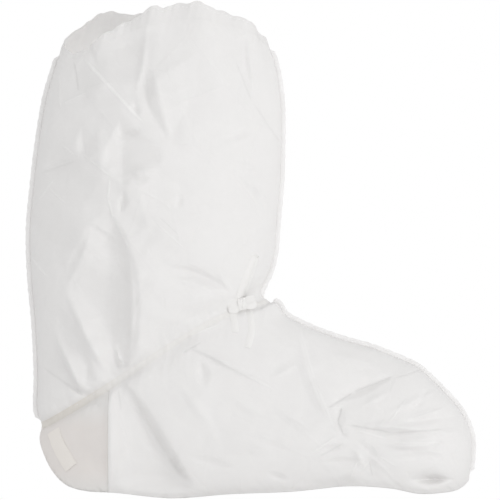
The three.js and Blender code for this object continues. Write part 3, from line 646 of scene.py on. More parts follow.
RIGHT_DENTS = (
    ("diamond_hollow", -131, 266, -126, 100, 0, -10, 44, 27),
    ("heel_hollow", -120, 110, -38, -84, -2, -12, 46, 22),
    ("low_calf_hollow", -177, 174, -143, 98, 0, -4.5, 14, 10),
)
LEFT_DENTS = (
    ("long_hollow", -124, 262, -124, 100, 0, -7, 34, 24),
    ("heel_hollow", -124, 104, -70, -60, 0, -6, 30, 22),
    ("calf_hollow", -148, 360, -110, 300, 0, -3, 18, 22),
)
print(len(RIGHT_FOLDS), "big folds on the right and", len(LEFT_FOLDS), "on the left")

# %% [markdown]
# The small creases are where the facets meet, and where the cloth was folded flat in its packet. They are a
# millimetre or two high, and only a few millimetres wide.

# %% Small creases
RIGHT_CREASES = (
    # The upper leg, behind
    ("rim_tuck", -95, 438, -108, 366, 3, 1.2, 5, 4),
    ("rim_tuck_end", -108, 368, -104, 350, 0, -1.4, 4, 6),
    ("mouth_step", -91, 398, -74, 330, 0, 4.2, 10, 26),
    ("mouth_step_foot", -96, 398, -92, 352, -2, -1.6, 8, 5),
    ("mouth_facet", -92, 382, -46, 412, 0, 1.6, 26, 14),
    ("calf_dark_facet", -119, 348, -117, 286, 0, -4.4, 16, 38),
    ("calf_dark_facet_foot", -116, 293, -82, 302, 0, 2.4, 3, 10),
    ("rim_pull_3", -150, 420, -140, 396, 0, -1.0, 4, 3),
    ("back_strip", -178, 402, -190, 336, 0, -2.0, 8, 8),
    ("calf_box_light", -139, 346, -137, 300, 0, 1.3, 16, 12),
    ("calf_box_shadow", -155, 344, -152, 308, 0, -1.6, 6, 14),
    ("calf_shelf", -126, 335, -98, 340, 0, -1.6, 6, 3),
    ("cross_shadow", -200, 298, -157, 313, 2, -1.3, 8, 6),
    ("crossing_arm", -122, 293, -84, 303, 0, -2.4, 8, 3),
    ("crossing_ring_shadow", -118, 288, -122, 261, 3, -1.8, 3, 5),
    ("diamond_left_edge", -172, 191, -131, 110, 0, 2.8, 5, 22),
    ("diamond_upper_edge", -146, 252, -173, 192, 3, 1.6, 4, 12),
    ("diamond_low_light", -181, 150, -153, 92, 0, 5.0, 4, 16),
    ("diamond_strip", -127, 146, -118, 110, 2, 2.0, 3, 3),
    ("diamond_pleat_1", -146, 250, -118, 232, 0, -0.7, 5, 4),
    ("diamond_pleat_2", -152, 236, -128, 222, 0, 0.6, 5, 4),
    ("diamond_right_edge", -116, 246, -117, 104, 8, 1.6, 6, 4),
    ("back_tuck_edge", -178, 112, -132, 80, 0, -2.0, 3, 5),
    # The leg, in front
    ("shin_rim_pull", -5, 430, 2, 368, 1, 1.4, 3, 5),
    ("shin_cross", -28, 328, 6, 339, 1, -1.1, 5, 4),
    ("shin_hollow_edge", -19, 302, 15, 255, 2, -1.6, 5, 7),
    ("shin_hollow_pull", 2, 296, 16, 272, 0, 1.2, 5, 5),
    ("shin_hollow_top", -17, 310, 11, 299, 0, 0.9, 4, 5),
    ("mid_hook", -66, 283, -69, 266, 2, -0.9, 3, 4),
    ("ankle_arc_edge", -84, 214, -17, 189, 6, -2.4, 10, 5),
    ("ankle_arc_light", -76, 202, -24, 184, 5, 1.2, 6, 6),
    ("knot_pull_1", -34, 214, -14, 186, 0, 1.0, 4, 4),
    ("knot_pull_2", 8, 214, 0, 188, 0, 1.0, 4, 4),
    # The ankle and the foot
    ("tape_gather_1", -66, 146, -22, 163, 3, 1.4, 4, 5),
    ("tape_gather_3", -88, 132, -66, 146, 0, 1.0, 4, 4),
    ("side_ridge_edge", -62, 142, 26, 100, 2, 1.7, 4, 6),
    ("side_ridge_shadow", -62, 138, -18, 116, 2, -0.8, 4, 4),
    ("side_facet", -46, 128, -42, 101, 0, -1.5, 6, 8),
    ("side_arm", 18, 110, 46, 126, 0, 1.1, 4, 5),
    ("instep_edge", 43, 160, 76, 64, -6, 1.0, 6, 4),
    ("instep_valley_edge", 71, 86, 136, 113, 1, -2.4, 5, 9),
    ("hook_middle", 86, 88, 80, 60, -2, -1.5, 4, 6),
    ("hook_low", 78, 70, 90, 54, 0, -1.0, 4, 5),
    ("low_line", 54, 43, 92, 50, 0, -1.2, 3, 4),
    ("toe_ray_1", 93, 66, 170, 62, 3, 1.8, 4, 6),
    ("toe_ray_shadow", 107, 60, 181, 63, -3, -2.0, 4, 4),
    ("toe_ray_2", 137, 70, 181, 85, 0, 1.2, 3, 4),
    ("toe_ray_4", 156, 44, 180, 56, 0, -1.1, 3, 4),
    ("toe_ray_6", 124, 78, 176, 100, 0, 1.2, 4, 5),
    ("toe_ray_7", 118, 66, 196, 74, 2, -1.2, 4, 5),
    ("toe_ray_8", 112, 52, 192, 50, -2, 1.3, 4, 5),
    ("toe_ray_9", 128, 36, 186, 38, 2, -1.2, 4, 5),
    ("toe_ray_10", 100, 84, 130, 100, 0, 1.0, 4, 4),
    ("toe_ray_11", 146, 78, 168, 104, 0, -1.1, 4, 4),
    ("toe_ray_12", 162, 62, 198, 60, 0, 1.3, 4, 4),
    ("toe_ray_13", 96, 58, 124, 30, 0, -1.1, 4, 5),
    ("toe_ray_14", 92, 50, 108, 22, 0, 1.1, 4, 5),
    ("toe_ray_15", 104, 46, 126, 24, 0, 1.0, 4, 4),
    ("toe_ray_16", 60, 34, 108, 36, 0, -1.0, 4, 4),
    ("vamp_line_2", 70, 134, 128, 112, 3, 1.2, 4, 6),
    ("vamp_line_3", 46, 150, 60, 120, 0, -0.9, 4, 5),
    ("foot_line_1", -70, 110, -30, 60, 0, 0.8, 5, 8),
    ("foot_line_2", -20, 96, 20, 70, 0, 0.8, 6, 6),
    ("foot_line_3", -10, 60, 40, 44, 0, -0.8, 5, 7),
    ("foot_line_4", 22, 84, 60, 60, 0, 0.9, 5, 5),
    ("foot_line_5", -60, 40, -14, 28, 0, -0.9, 5, 6),
    ("toe_ray_5", 120, 44, 168, 50, 2, 0.9, 3, 4),
    ("toe_pocket_edge", 148, 17, 187, 17, 0, -4.5, 6, 5),
    ("low_tick", 13, 25, 36, 17, 0, -1.2, 4, 4),
    # The heel
    ("heel_ridge_edge", -130, 106, -130, 4, 0, 3.0, 5, 14),
    ("heel_channel_edge", -113, 106, -44, 2, -7, -2.5, 10, 6),
    ("heel_bright_facet", -127, 108, -120, -20, 0, 1.6, 8, 46),
)
LEFT_CREASES = (
    ("mouth_diagonal_edge", -136, 414, -80, 336, 0, 1.6, 5, 3),
    ("mouth_step", -70, 392, -58, 338, -2, -2.4, 10, 5),
    ("rim_pull_1", -164, 418, -158, 372, 0, 1.4, 3, 4),
    ("rim_pull_2", -40, 424, -28, 384, 0, -1.4, 4, 4),
    ("rim_pull_3", -8, 418, -2, 376, 1, 1.3, 4, 4),
    ("calf_shelf", -132, 352, -92, 342, 0, -1.5, 5, 4),
    ("cross_line", -182, 315, -130, 286, 2, 1.6, 3, 4),
    ("back_fork", -194, 280, -160, 262, 0, -1.3, 4, 4),
    ("cross_shadow", -196, 256, -150, 241, 0, -1.8, 4, 5),
    ("long_ridge_edge", -121, 250, -156, 152, -6, 2.2, 4, 7),
    ("long_valley_edge", -113, 262, -125, 106, 5, -2.4, 6, 4),
    ("front_ridge_edge", -96, 244, -103, 108, 12, 1.8, 6, 4),
    ("shin_diagonal_edge", -20, 408, 28, 322, 0, -1.8, 4, 4),
    ("shin_cross", -46, 338, 8, 322, 2, 1.2, 4, 5),
    ("shin_hollow_edge", -30, 290, 12, 248, 0, -1.6, 5, 6),
    ("mid_line", -84, 300, -52, 262, 0, 1.2, 3, 4),
    ("ankle_arc_edge", -82, 204, -14, 192, 7, -2.2, 9, 5),
    ("tape_gather_1", -70, 140, -26, 160, 3, 1.4, 4, 5),
    ("tape_gather_2", -96, 124, -72, 140, 0, -1.0, 4, 4),
    ("side_ridge_edge", -52, 134, 36, 92, -4, 2.2, 5, 7),
    ("side_facet", -26, 122, -30, 92, 0, -1.4, 6, 8),
    ("instep_edge", 54, 154, 88, 64, -4, 1.8, 7, 4),
    ("instep_valley_edge", 80, 79, 142, 104, 0, -2.2, 5, 8),
    ("hook", 90, 78, 84, 58, 2, -2.0, 4, 4),
    ("low_double", 52, 40, 84, 58, 0, 1.4, 3, 4),
    ("toe_ray_1", 98, 60, 172, 57, 3, 1.6, 4, 5),
    ("toe_ray_2", 132, 66, 178, 78, 0, -1.3, 3, 4),
    ("toe_ray_3", 124, 38, 172, 44, 0, 1.1, 3, 4),
    ("heel_ridge_edge", -134, 98, -131, 10, -2, 2.6, 5, 11),
    ("heel_channel_edge", -114, 100, -64, 2, -6, -2.2, 9, 6),
)
print(len(RIGHT_CREASES), "small creases on the right and", len(LEFT_CREASES), "on the left")

# %% [markdown]
# Between the creases that have names, the cloth has a fine crumple of its own. Points are strewn over the
# side view with a random height each, and joined to triangles: a surface of flat facets, as crumpled film
# has. Two sizes of it are laid over each other. The strewing is seeded, so every run gives the same boot.
#
# All heights are added up once, on a map of the side view with a point every millimetre. A slight blur then
# rounds the creases, as the cloth's own thickness does: more for a big fold, less for a sharp little one.

# %% Map of heights
SEED = 7
MAP_STEP = 1.0
MAP_X = np.arange(-240, 241, MAP_STEP)
MAP_Z = np.arange(-40, 481, MAP_STEP)
HIP = 0.4  # the share of a fold's length over which it rises to its full height
FACETS = ((34.0, 1.3), (13.0, 0.42))  # how far apart the points are strewn, and how high
STREWN_X, STREWN_Z = (-260, 260), (-60, 500)
STREWN_ROWS, STREWN_ASIDE = 0.9, 0.42  # in spacings: from row to row, and how far a point is thrown
CRUMPLED_BEHIND, CRUMPLED_TOE = 1.9, 0.7  # how much more crumpled than elsewhere
FOLD_BLUR = 3.2
DENT_FULLNESS = 0.8
CREASE_BLUR = 0.8
CREASE_STRENGTH = 2.2


def fold_place(fold, x, z):
    """How far along a fold points of the side view are, as a share, and how far to its right side."""
    reach = math.hypot(fold["x2"] - fold["x1"], fold["z2"] - fold["z1"])
    dx, dz = (fold["x2"] - fold["x1"]) / reach, (fold["z2"] - fold["z1"]) / reach
    share = ((x - fold["x1"]) * dx + (z - fold["z1"]) * dz) / reach
    return share, (z - fold["z1"]) * dx - (x - fold["x1"]) * dz - fold["bow"] * 4 * share * (1 - share)


def roof(fold, x, z):
    """A fold with flat flanks that comes to a point at both ends, like a hipped roof."""
    share, across = fold_place(fold, x, z)
    width = np.where(across < 0, fold["leftWidth"], fold["rightWidth"])
    ends = np.minimum(np.minimum(share, 1 - share) / HIP, 1)
    return fold["rise"] * np.clip(ends - np.abs(across) / width, 0, 1)


def dent(fold, x, z):
    """A hollow pushed into the cloth: round inside, with a crisp rim that comes to a point at both ends."""
    share, across = fold_place(fold, x, z)
    width = np.where(across < 0, fold["leftWidth"], fold["rightWidth"])
    ends = np.clip(4 * share * (1 - share), 0, 1) ** DENT_FULLNESS + 1e-6
    return fold["rise"] * ends * np.clip(1 - (across / (width * ends)) ** 2, 0, 1)


def heights_of(shape, table):
    x, z = np.meshgrid(MAP_X, MAP_Z, indexing="ij")
    return sum(shape(dict(zip(FOLD_COLUMNS, row)), x, z) for row in table)


def facets_map(side, spacing, height):
    """Random heights joined to triangles."""
    dice = np.random.default_rng(SEED + int(spacing) * (3 + side))
    xs, zs = np.meshgrid(np.arange(*STREWN_X, spacing), np.arange(*STREWN_Z, spacing * STREWN_ROWS))
    thrown = dice.uniform(-STREWN_ASIDE, STREWN_ASIDE, (xs.size, 2)) * spacing
    points = np.stack([xs.ravel(), zs.ravel()], axis=1) + thrown
    heights = dice.uniform(-1, 1, len(points)) * height
    triangles, originals = delaunay_2d_cdt([Vector(p) for p in points], [], [], 0, 1e-6)[2:4]
    made = np.zeros((len(MAP_X), len(MAP_Z)))
    for triangle in triangles:
        corners = [originals[n][0] for n in triangle]
        (ax, az), (bx, bz), (cx, cz) = points[corners]
        columns = slice(*np.searchsorted(MAP_X, (min(ax, bx, cx), max(ax, bx, cx))))
        rows = slice(*np.searchsorted(MAP_Z, (min(az, bz, cz), max(az, bz, cz))))
        x, z = MAP_X[columns, None], MAP_Z[None, rows]
        area = (bx - ax) * (cz - az) - (cx - ax) * (bz - az)
        u = ((x - ax) * (cz - az) - (cx - ax) * (z - az)) / area
        v = ((bx - ax) * (z - az) - (bz - az) * (x - ax)) / area
        a, b, c = heights[corners]
        inside = (u >= 0) & (v >= 0) & (u + v <= 1)
        made[columns, rows] = np.where(inside, a + (b - a) * u + (c - a) * v, made[columns, rows])
    return made


def blurred(heights, radius):
    reach = int(3 * radius / MAP_STEP)
    weights = np.exp(-0.5 * (np.arange(-reach, reach + 1) * MAP_STEP / radius) ** 2)
    weights /= weights.sum()
    for axis in (0, 1):
        heights = np.apply_along_axis(np.convolve, axis, heights, weights, "same")
    return heights


def side_map(side, folds, dents, creases):
    facets = sum(facets_map(side, *sizes) for sizes in FACETS)
    x, z = np.meshgrid(MAP_X, MAP_Z, indexing="ij")
    crumpled = 1 + CRUMPLED_BEHIND * ramp(x, -66, -110) * ramp(z, 90, 150) + CRUMPLED_TOE * ramp(x, 70, 110)
    sharp = heights_of(roof, creases) * CREASE_STRENGTH + heights_of(dent, dents) + facets * crumpled
    return blurred(heights_of(roof, folds), FOLD_BLUR) + blurred(sharp, CREASE_BLUR)


def mapped(heights, x, z):
    """Heights at any points of the side view, from the four nearest points of a map."""
    across = np.clip((x - MAP_X[0]) / MAP_STEP, 0, len(MAP_X) - 1.001)
    up = np.clip((z - MAP_Z[0]) / MAP_STEP, 0, len(MAP_Z) - 1.001)
    i, j = across.astype(int), up.astype(int)
    u, v = across - i, up - j
    low = heights[i, j] * (1 - u) + heights[i + 1, j] * u
    high = heights[i, j + 1] * (1 - u) + heights[i + 1, j + 1] * u
    return low * (1 - v) + high * v


HEIGHTS = {
    RIGHT: side_map(RIGHT, RIGHT_FOLDS, RIGHT_DENTS, RIGHT_CREASES),
    LEFT: side_map(LEFT, LEFT_FOLDS, LEFT_DENTS, LEFT_CREASES),
}
print("The right side's folds reach from", [round(float(f(HEIGHTS[RIGHT])), 1) for f in (np.min, np.max)])

# %% [markdown]
# ## The folded boot
# The folds push the smooth boot straight out of its side view, so that each stays where the tables put it.
# The gathers push it along its normals: ruffles under the mouth's elastic, pleats on both sides of the ankle
# tape, the groove that the tape lies in, and the small puckers that sewing leaves along a seam. Folds fade
# out near the seams, near the floor and under the ankle tape, where the cloth is held.

# %% Cloth surface
MOUTH_RUFFLES = 5  # on each side
ANKLE_PLEATS = 5
PLEAT_TURN = 0.8  # the pleats on the foot don't quite line up with those on the leg
GATHERS = {
    # name: height, then in sections from the mouth or the tape: reach, and where it is at its full height
    "mouth_ruffles": (2.6, 0.9, None),
    "mouth_crimps": (0.6, 0.4, None),
    "ankle_pleats": (2.4, 1.1, 0.5),
    "ankle_crimps": (0.9, 0.8, 0.4),
    "tape_crimps": (0.45, 0.7, None),
}
SEAM_CALM = 16  # folds grow to their full height over this length from a seam
FLOOR_CALM = (3, 21)  # between these heights of the foot
HEEL_CALM = 60  # over this length of the foot, from the back of the heel
TAPE_HOLD, TAPE_CALM = 0.3, 0.9  # share that is left under the tape, and sections over which it grows
GROOVE_DEPTH, GROOVE_HALF_WIDTH = (0.5, 4.2), (0.42, -0.1)  # in front, and how much more behind
GROOVE_BACK_SEAM = 0.25  # share of the groove that is left at the back seam
PUCKER = {"height": 0.9, "sunk": 0.4, "start": 2.5, "reach": 7.0}


def gather(name, distance):
    height, reach, start = GATHERS[name]
    made = height * np.exp(-distance / reach)
    return made * smooth(distance / start) if start else made


def tape_groove(x, from_ankle, from_front, from_back):
    """How deep the tape draws the cloth in: most behind, where it runs down into the heel."""
    behind = ramp(x, -60, -140)
    depth, half_width = (front + more * behind for front, more in (GROOVE_DEPTH, GROOVE_HALF_WIDTH))
    ends = smooth(from_front / 10) * (GROOVE_BACK_SEAM + (1 - GROOVE_BACK_SEAM) * smooth(from_back / 14))
    return depth * np.exp(-((from_ankle / half_width) ** 2)) * ends


def seam_puckers(x, z, from_front, from_back, side):
    """Small waves across the seams, where the thread has drawn the cloth in."""
    made = np.zeros_like(x)
    for distance, run in ((from_front, x * 0.7 - z), (from_back, x + z)):
        near = smooth(distance / PUCKER["start"]) * np.exp(-distance / PUCKER["reach"])
        made += near * (PUCKER["height"] * waves(run + side * 5, 9.0, 6.1, 14.0) - PUCKER["sunk"])
    return made


def cloth_points(place, length, side):
    """Points of the folded boot, for the same places and lengths as those of the smooth one."""
    points = smooth_points(place, length, side)
    x, z = points[..., 0], points[..., 2]
    along = np.asarray(place)[:, None]
    on_foot = along > ANKLE
    from_ankle = np.abs(along - ANKLE)
    whole = whole_length(place)[:, None]
    flat = half_sections(place)[3][:, None]
    from_front = whole - length
    from_back = np.where(on_foot, np.maximum(length - flat, 0), length)
    free = smooth(np.minimum(from_back, from_front) / SEAM_CALM)
    off_floor = np.where(on_foot, ramp(z, *FLOOR_CALM), 1)
    off_heel = np.where(on_foot, smooth((x - section_value("backX", ANKLE)) / HEEL_CALM), 1)
    loose = free * off_floor * off_heel * (TAPE_HOLD + (1 - TAPE_HOLD) * smooth(from_ankle / TAPE_CALM))

    turns = 2 * math.pi * length / whole
    height = gather("mouth_ruffles", along) * np.sin(turns * MOUTH_RUFFLES)
    height += gather("mouth_crimps", along) * waves(length + 4 * along, 11.0, 17.0, 7.3)
    pleats = np.sin(turns * ANKLE_PLEATS + np.where(on_foot, PLEAT_TURN, 0))
    height += gather("ankle_pleats", from_ankle) * pleats
    height += gather("ankle_crimps", from_ankle) * waves(length, 12.0, 8.3, 19.0)
    height *= loose
    height += gather("tape_crimps", from_ankle) * waves(length + 2 * side, 6.3, 9.1, 13.7) * free
    height -= tape_groove(x, from_ankle, from_front, from_back)
    height += seam_puckers(x, z, from_front, from_back, side)

    folded = mapped(HEIGHTS[side], x, z) * loose
    points = points + normals_of(smooth_points, place, length, side) * height[..., None]
    points[..., 1] = side * np.maximum(side * points[..., 1] + folded, 0)
    points[..., 2] = np.maximum(points[..., 2], 0)
    return points


def offset_points(place, length, side, out):
    """The folded boot, a distance further out or in."""
    out = np.broadcast_to(np.asarray(out, float), np.shape(length))
    points = cloth_points(place, length, side)
    return points + normals_of(cloth_points, place, length, side) * out[..., None]


on_calf = cloth_points(np.array([5.0]), np.array([[60.0, 120.0]]), RIGHT)[0]
print("Two points of the right calf:", on_calf.round(1).tolist())

# %% [markdown]
# ## Rows and columns
# A sheet of cloth is a grid whose rows are places along the boot and whose columns are lengths round it. The
# rows are strewn so that the squares come out about as tall as they are wide, and one of them lies exactly
# under the ankle tape. The first quarter of the columns belongs to the sole, the rest to the side panel.

# %% Rows and columns
COLUMNS = 144
SOLE_COLUMNS = 36
ROWS_ON_LEG = 168
ROWS_ON_FOOT = 176
HEM_DEPTH = 0.36  # in sections, like the next two
PANEL_TOP = 0.11
TAPE_HALF = 0.2
COLUMN_TURN = 1.5  # over these last sections of the leg the columns turn to meet those of the foot
WELT, WELT_MOST = 0.6, 0.4  # how far the sole's edge turns up the side, and its most as a share of the side
HEEL_CUP_FRONT = -131.0  # x where the turned-up heel of the sole ends
ROUND_SHARES = np.array([0.0, 0.3, 0.5, 0.75, 1.0])


def even_places(start, end, count):
    """Places whose rows are evenly far apart, on the average of the back, the side and the front."""
    fine = np.linspace(start, end, 1200)
    points = smooth_points(fine, whole_length(fine)[:, None] * ROUND_SHARES, RIGHT)
    steps = np.linalg.norm(np.diff(points, axis=0), axis=-1)
    far = np.concatenate([[0], np.cumsum(np.sqrt((steps**2).mean(axis=1)))])
    return np.interp(np.linspace(0, far[-1], count + 1), far, fine)


def foot_edges(place):
    """Where the sole meets the side panel, round one side of each cut through the foot."""
    shares, _, lengths, flat = half_sections(place)
    back, front = section_value("backX", place), section_value("frontX", place)
    cup_share = np.maximum((HEEL_CUP_FRONT - back) / (front - back), 0)
    first = FLAT_STEPS
    cup = np.array([np.interp(c, s[first:], l[first:]) for c, s, l in zip(cup_share, shares, lengths)])
    whole = lengths[:, -1]
    return np.maximum(cup, flat + np.minimum(WELT, WELT_MOST * (whole - flat)))


def sole_edges(place):
    """The same on the foot, carried up the leg so that the columns run on over the tape."""
    ankle = np.array([float(ANKLE)])
    at_ankle = (foot_edges(ankle) / whole_length(ankle))[0]
    usual = SOLE_COLUMNS / COLUMNS
    share = usual + (at_ankle - usual) * smooth((place - ANKLE + COLUMN_TURN) / COLUMN_TURN)
    return np.where(place < ANKLE, whole_length(place) * share, foot_edges(place))


def column_lengths(place, columns):
    """Lengths round each cut of the column lines."""
    edge = sole_edges(place)[:, None]
    whole = whole_length(place)[:, None]
    columns = np.asarray(columns, float)[None, :]
    beyond = edge + (whole - edge) * (columns - SOLE_COLUMNS) / (COLUMNS - SOLE_COLUMNS)
    return np.where(columns <= SOLE_COLUMNS, edge * columns / SOLE_COLUMNS, beyond)


leg_places = even_places(PANEL_TOP, ANKLE, ROWS_ON_LEG)
foot_places = even_places(ANKLE, TOE_END, ROWS_ON_FOOT)
panel_places = np.concatenate([leg_places[:-1], foot_places])
print("The panels have", len(panel_places), "rows and", COLUMNS + 1, "columns")

# %% [markdown]
# ## Modelling helpers
# Every sheet starts as Blender's grid primitive, with as many squares as it needs, and its corners are then
# moved onto the boot in code: there is no hand tool that would lay forty thousand corners into such folds.
# Cutting away, flipping and thickening are done with the usual edit-mode tools and the Solidify modifier.

# %% Helpers: grids, edit mode and modifiers
def start_fresh():
    """Back in object mode, with nothing selected."""
    if bpy.context.object and bpy.context.object.mode != "OBJECT":
        bpy.ops.object.mode_set(mode="OBJECT")
    bpy.ops.object.select_all(action="DESELECT")


def pick(piece):
    start_fresh()
    piece.select_set(True)
    bpy.context.view_layer.objects.active = piece


def grid_sheet(name, points):
    """A grid primitive whose corners are moved to the points, which are rows of columns in pattern units."""
    rows, columns = points.shape[:2]
    start_fresh()
    bpy.ops.mesh.primitive_grid_add(x_subdivisions=columns - 1, y_subdivisions=rows - 1, size=1)
    sheet = bpy.context.object
    sheet.name = sheet.data.name = name
    sheet.data.vertices.foreach_set("co", (points * MM).astype(np.float32).ravel())
    sheet.data.update()
    return sheet


def edit_all(piece, *steps):
    """Runs edit-mode operators on the whole mesh."""
    pick(piece)
    bpy.ops.object.mode_set(mode="EDIT")
    bpy.ops.mesh.select_all(action="SELECT")
    for step, settings in steps:
        getattr(bpy.ops.mesh, step)(**settings)
    bpy.ops.object.mode_set(mode="OBJECT")


def close_up(piece, nearest=0.00001):
    """Merges the edges of a grid that meet, and turns all its faces outwards."""
    edit_all(
        piece,
        ("remove_doubles", {"threshold": nearest}),
        ("normals_make_consistent", {"inside": False}),
    )


def cut_away(piece, cells):
    """Deletes the marked faces, and the corners that are left with none."""
    pick(piece)
    bpy.ops.object.mode_set(mode="EDIT")
    bpy.ops.mesh.select_mode(type="FACE")
    bpy.ops.mesh.select_all(action="DESELECT")
    bpy.ops.object.mode_set(mode="OBJECT")
    piece.data.polygons.foreach_set("select", np.asarray(cells, bool).ravel())
    bpy.ops.object.mode_set(mode="EDIT")
    bpy.ops.mesh.delete(type="FACE")
    bpy.ops.mesh.select_all(action="SELECT")
    bpy.ops.mesh.delete_loose()
    bpy.ops.object.mode_set(mode="OBJECT")


def thicken(piece, thickness):
    """Gives a sheet its wall, inwards from the face that is seen."""
    pick(piece)
    bpy.ops.object.modifier_add(type="SOLIDIFY")
    wall = piece.modifiers[-1]
    wall.thickness = thickness * MM
    wall.offset = -1
    wall.use_rim = True
    bpy.ops.object.modifier_apply(modifier=wall.name)


def soften(piece, degrees=50):
    pick(piece)
    bpy.ops.object.shade_smooth_by_angle(angle=math.radians(degrees))


def joined(name, pieces, degrees):
    """Joins pieces to one with a name, shaded smooth up to an angle."""
    start_fresh()
    for piece in pieces:
        piece.select_set(True)
    bpy.context.view_layer.objects.active = pieces[0]
    bpy.ops.object.join()
    whole = bpy.context.object
    whole.name = whole.data.name = name
    soften(whole, degrees)
    return whole


def finish_piece(piece, finish, slot, *nodes):
    """Gives a piece its material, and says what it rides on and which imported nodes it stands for."""
    piece.data.materials.clear()
    piece.data.materials.append(finish)
    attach(piece, "root")
    if nodes:
        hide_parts(*nodes)
    print(piece.name, "has", sum(len(face.vertices) - 2 for face in piece.data.polygons), "triangles")
    return piece


start_fresh()
print("The modelling helpers are ready")

# %% [markdown]
# ## Side panels
# A side panel is one flat piece of cloth, cut to the outline of the boot. The two panels lie against each
# other only at the seams, where each stops just short of the boot's middle plane. A grid is laid over the
# whole side, the squares that belong to the sole are cut away, and Solidify gives the cloth its wall.

# %% Side panels
CLOTH = 1.2
SEAM_GAP = 0.35


def side_panel(name, side):
    lengths = column_lengths(panel_places, np.arange(COLUMNS + 1))
    lengths = np.clip(lengths, SEAM_GAP, whole_length(panel_places)[:, None] - SEAM_GAP)
    points = cloth_points(panel_places, lengths, side)
    points[..., 1] = side * np.maximum(side * points[..., 1], SEAM_GAP)
    panel = grid_sheet(name, points)
    under = np.zeros((len(panel_places) - 1, COLUMNS), bool)
    under[ROWS_ON_LEG:, :SOLE_COLUMNS] = True
    cut_away(panel, under)
    if side == RIGHT:
        edit_all(panel, ("flip_normals", {}))
    flat_area = sum(face.area for face in panel.data.polygons)
    thicken(panel, CLOTH)
    soften(panel)
    print(name, "took", round(flat_area, 4), "square metres of cloth")
    return panel


right_panel = side_panel("right_side_cloth", RIGHT)
left_panel = side_panel("left_side_cloth", LEFT)
finish_piece(right_panel, right_painted_crease_finish, "nonwoven_cloth", "right_side_panel")
finish_piece(left_panel, cloth_finish, "nonwoven_cloth", "left_side_panel")

# %% [markdown]
# ## Sole
# The sole is one coated sheet for both sides. It is nearly flat under the foot, only just turns up along the
# sides, and goes right up round the heel to the ankle tape. Its edge is tucked under the edge of the panels.

# %% Sole
SOLE_THICKNESS = 1.6
SOLE_START = ANKLE + 0.05
TUCK_DEPTH = CLOTH + 0.12
TUCK_COLUMNS = (
    # from the panels' edge, and the most of that as a share of the sole's half
    (-0.3, 0.4),  # the last column that shows
    (-0.2, 0.1),
    (2.4, 1.0),
)


def sole_points(place):
    edge = sole_edges(place)[:, None]
    shown, *tucked = (edge + np.sign(far) * np.minimum(abs(far), most * edge) for far, most in TUCK_COLUMNS)
    half = np.hstack([shown * np.linspace(0, 1, SOLE_COLUMNS), *tucked])
    out = np.zeros_like(half)
    out[:, -2:] = -TUCK_DEPTH
    right = offset_points(place, half, RIGHT, out)
    left = offset_points(place, half, LEFT, out)
    return np.concatenate([right[:, ::-1], left[:, 1:]], axis=1)


sole_places = np.concatenate([[SOLE_START], foot_places[1:]])
sole = grid_sheet("sole_sheet", sole_points(sole_places))
thicken(sole, SOLE_THICKNESS)
soften(sole)
finish_piece(sole, sole_finish, "coated_sole", "sole")

# %% [markdown]
# ## Elastic hem
# At the mouth a strip of cloth is folded over a narrow elastic and over the top edge of the panels, and sewn
# down, and the elastic draws it into fine gathers. Its cross-section is a thin hook, open downwards, and the
# grid carries it round the mouth. The ends and edges of the grid meet and are merged.

# %% Elastic hem
HEM_SECTION = (
    # share of the depth, out from the cloth
    (1.00, 0.06),
    (1.00, 0.12),
    (0.75, 0.26),
    (0.40, 0.36),
    (0.31, 0.36),
    (0.26, 0.12),
    (0.21, 0.36),
    (0.08, 0.36),
    (0.00, 0.05),
    (0.00, -1.25),
    (0.12, -1.62),
    (0.45, -1.75),
    (0.80, -1.64),
    (1.00, -1.42),
    (1.00, -1.30),
    (0.50, -1.30),
    (0.20, -1.26),
    (0.20, 0.05),
    (0.50, 0.05),
)
HEM_COLUMNS = 240
HEM_GATHER = 0.12
MEET_CALM = 6  # the gathers fade out over this length towards both seams


def rounded_strip(half_height, half_thickness, count, squareness=2.6):
    """A closed cross-section: offsets along the strip's height and out of its face."""
    turn = np.linspace(0, 2 * math.pi, count + 1)
    across, out = np.cos(turn), np.sin(turn)
    power = 2 / squareness
    return (
        half_height * np.sign(across) * np.abs(across) ** power,
        half_thickness * np.sign(out) * np.abs(out) ** power,
    )


def ring_of_cloth(name, places, out, gathers, columns):
    """A closed cross-section of places and distances out, carried right round the boot and gathered."""
    places = np.clip(places, 0, TOE_END)
    lengths = whole_length(places)[:, None] * np.linspace(0, 1, columns + 1)
    right, left = (
        offset_points(places, lengths, side, out[:, None] + gathers(lengths, side)) for side in (RIGHT, LEFT)
    )
    ring = grid_sheet(name, np.concatenate([right, left[:, -2::-1]], axis=1))
    close_up(ring)
    soften(ring, 70)
    return ring


def hem_gathers(length, side):
    ends = smooth(length / MEET_CALM) * smooth((length[:, -1:] - length) / MEET_CALM)
    return HEM_GATHER * waves(length + 3 * side, 5.3, 8.1, 3.7) * ends


depths, outs = np.array(HEM_SECTION + HEM_SECTION[:1]).T
hem = ring_of_cloth("hem_gathers", depths * HEM_DEPTH, outs, hem_gathers, HEM_COLUMNS)
finish_piece(hem, hem_finish, "elastic_hem", "elastic_hem")

# %% [markdown]
# ## Ankle tape
# The tape that ties the boot to the ankle is a flat strip sewn on all round. It puckers a little with the
# cloth that it gathers. It is made as the hem is, from a thinner and flatter cross-section.

# %% Ankle tape
TAPE_SEAT = 0.04
TAPE_THICKNESS = 0.25
TAPE_COLUMNS = 200
TAPE_PUCKER = 0.06


def tape_puckers(length, side):
    return TAPE_PUCKER * waves(length - 2 * side, 6.1, 9.7, 4.4)


across, outs = rounded_strip(TAPE_HALF, TAPE_THICKNESS / 2, 20)
outs = outs + TAPE_SEAT + TAPE_THICKNESS / 2
ankle_tape = ring_of_cloth("ankle_tape_strip", ANKLE + across, outs, tape_puckers, TAPE_COLUMNS)
finish_piece(ankle_tape, ankle_tape_finish, "tie_tape", "ankle_tape")

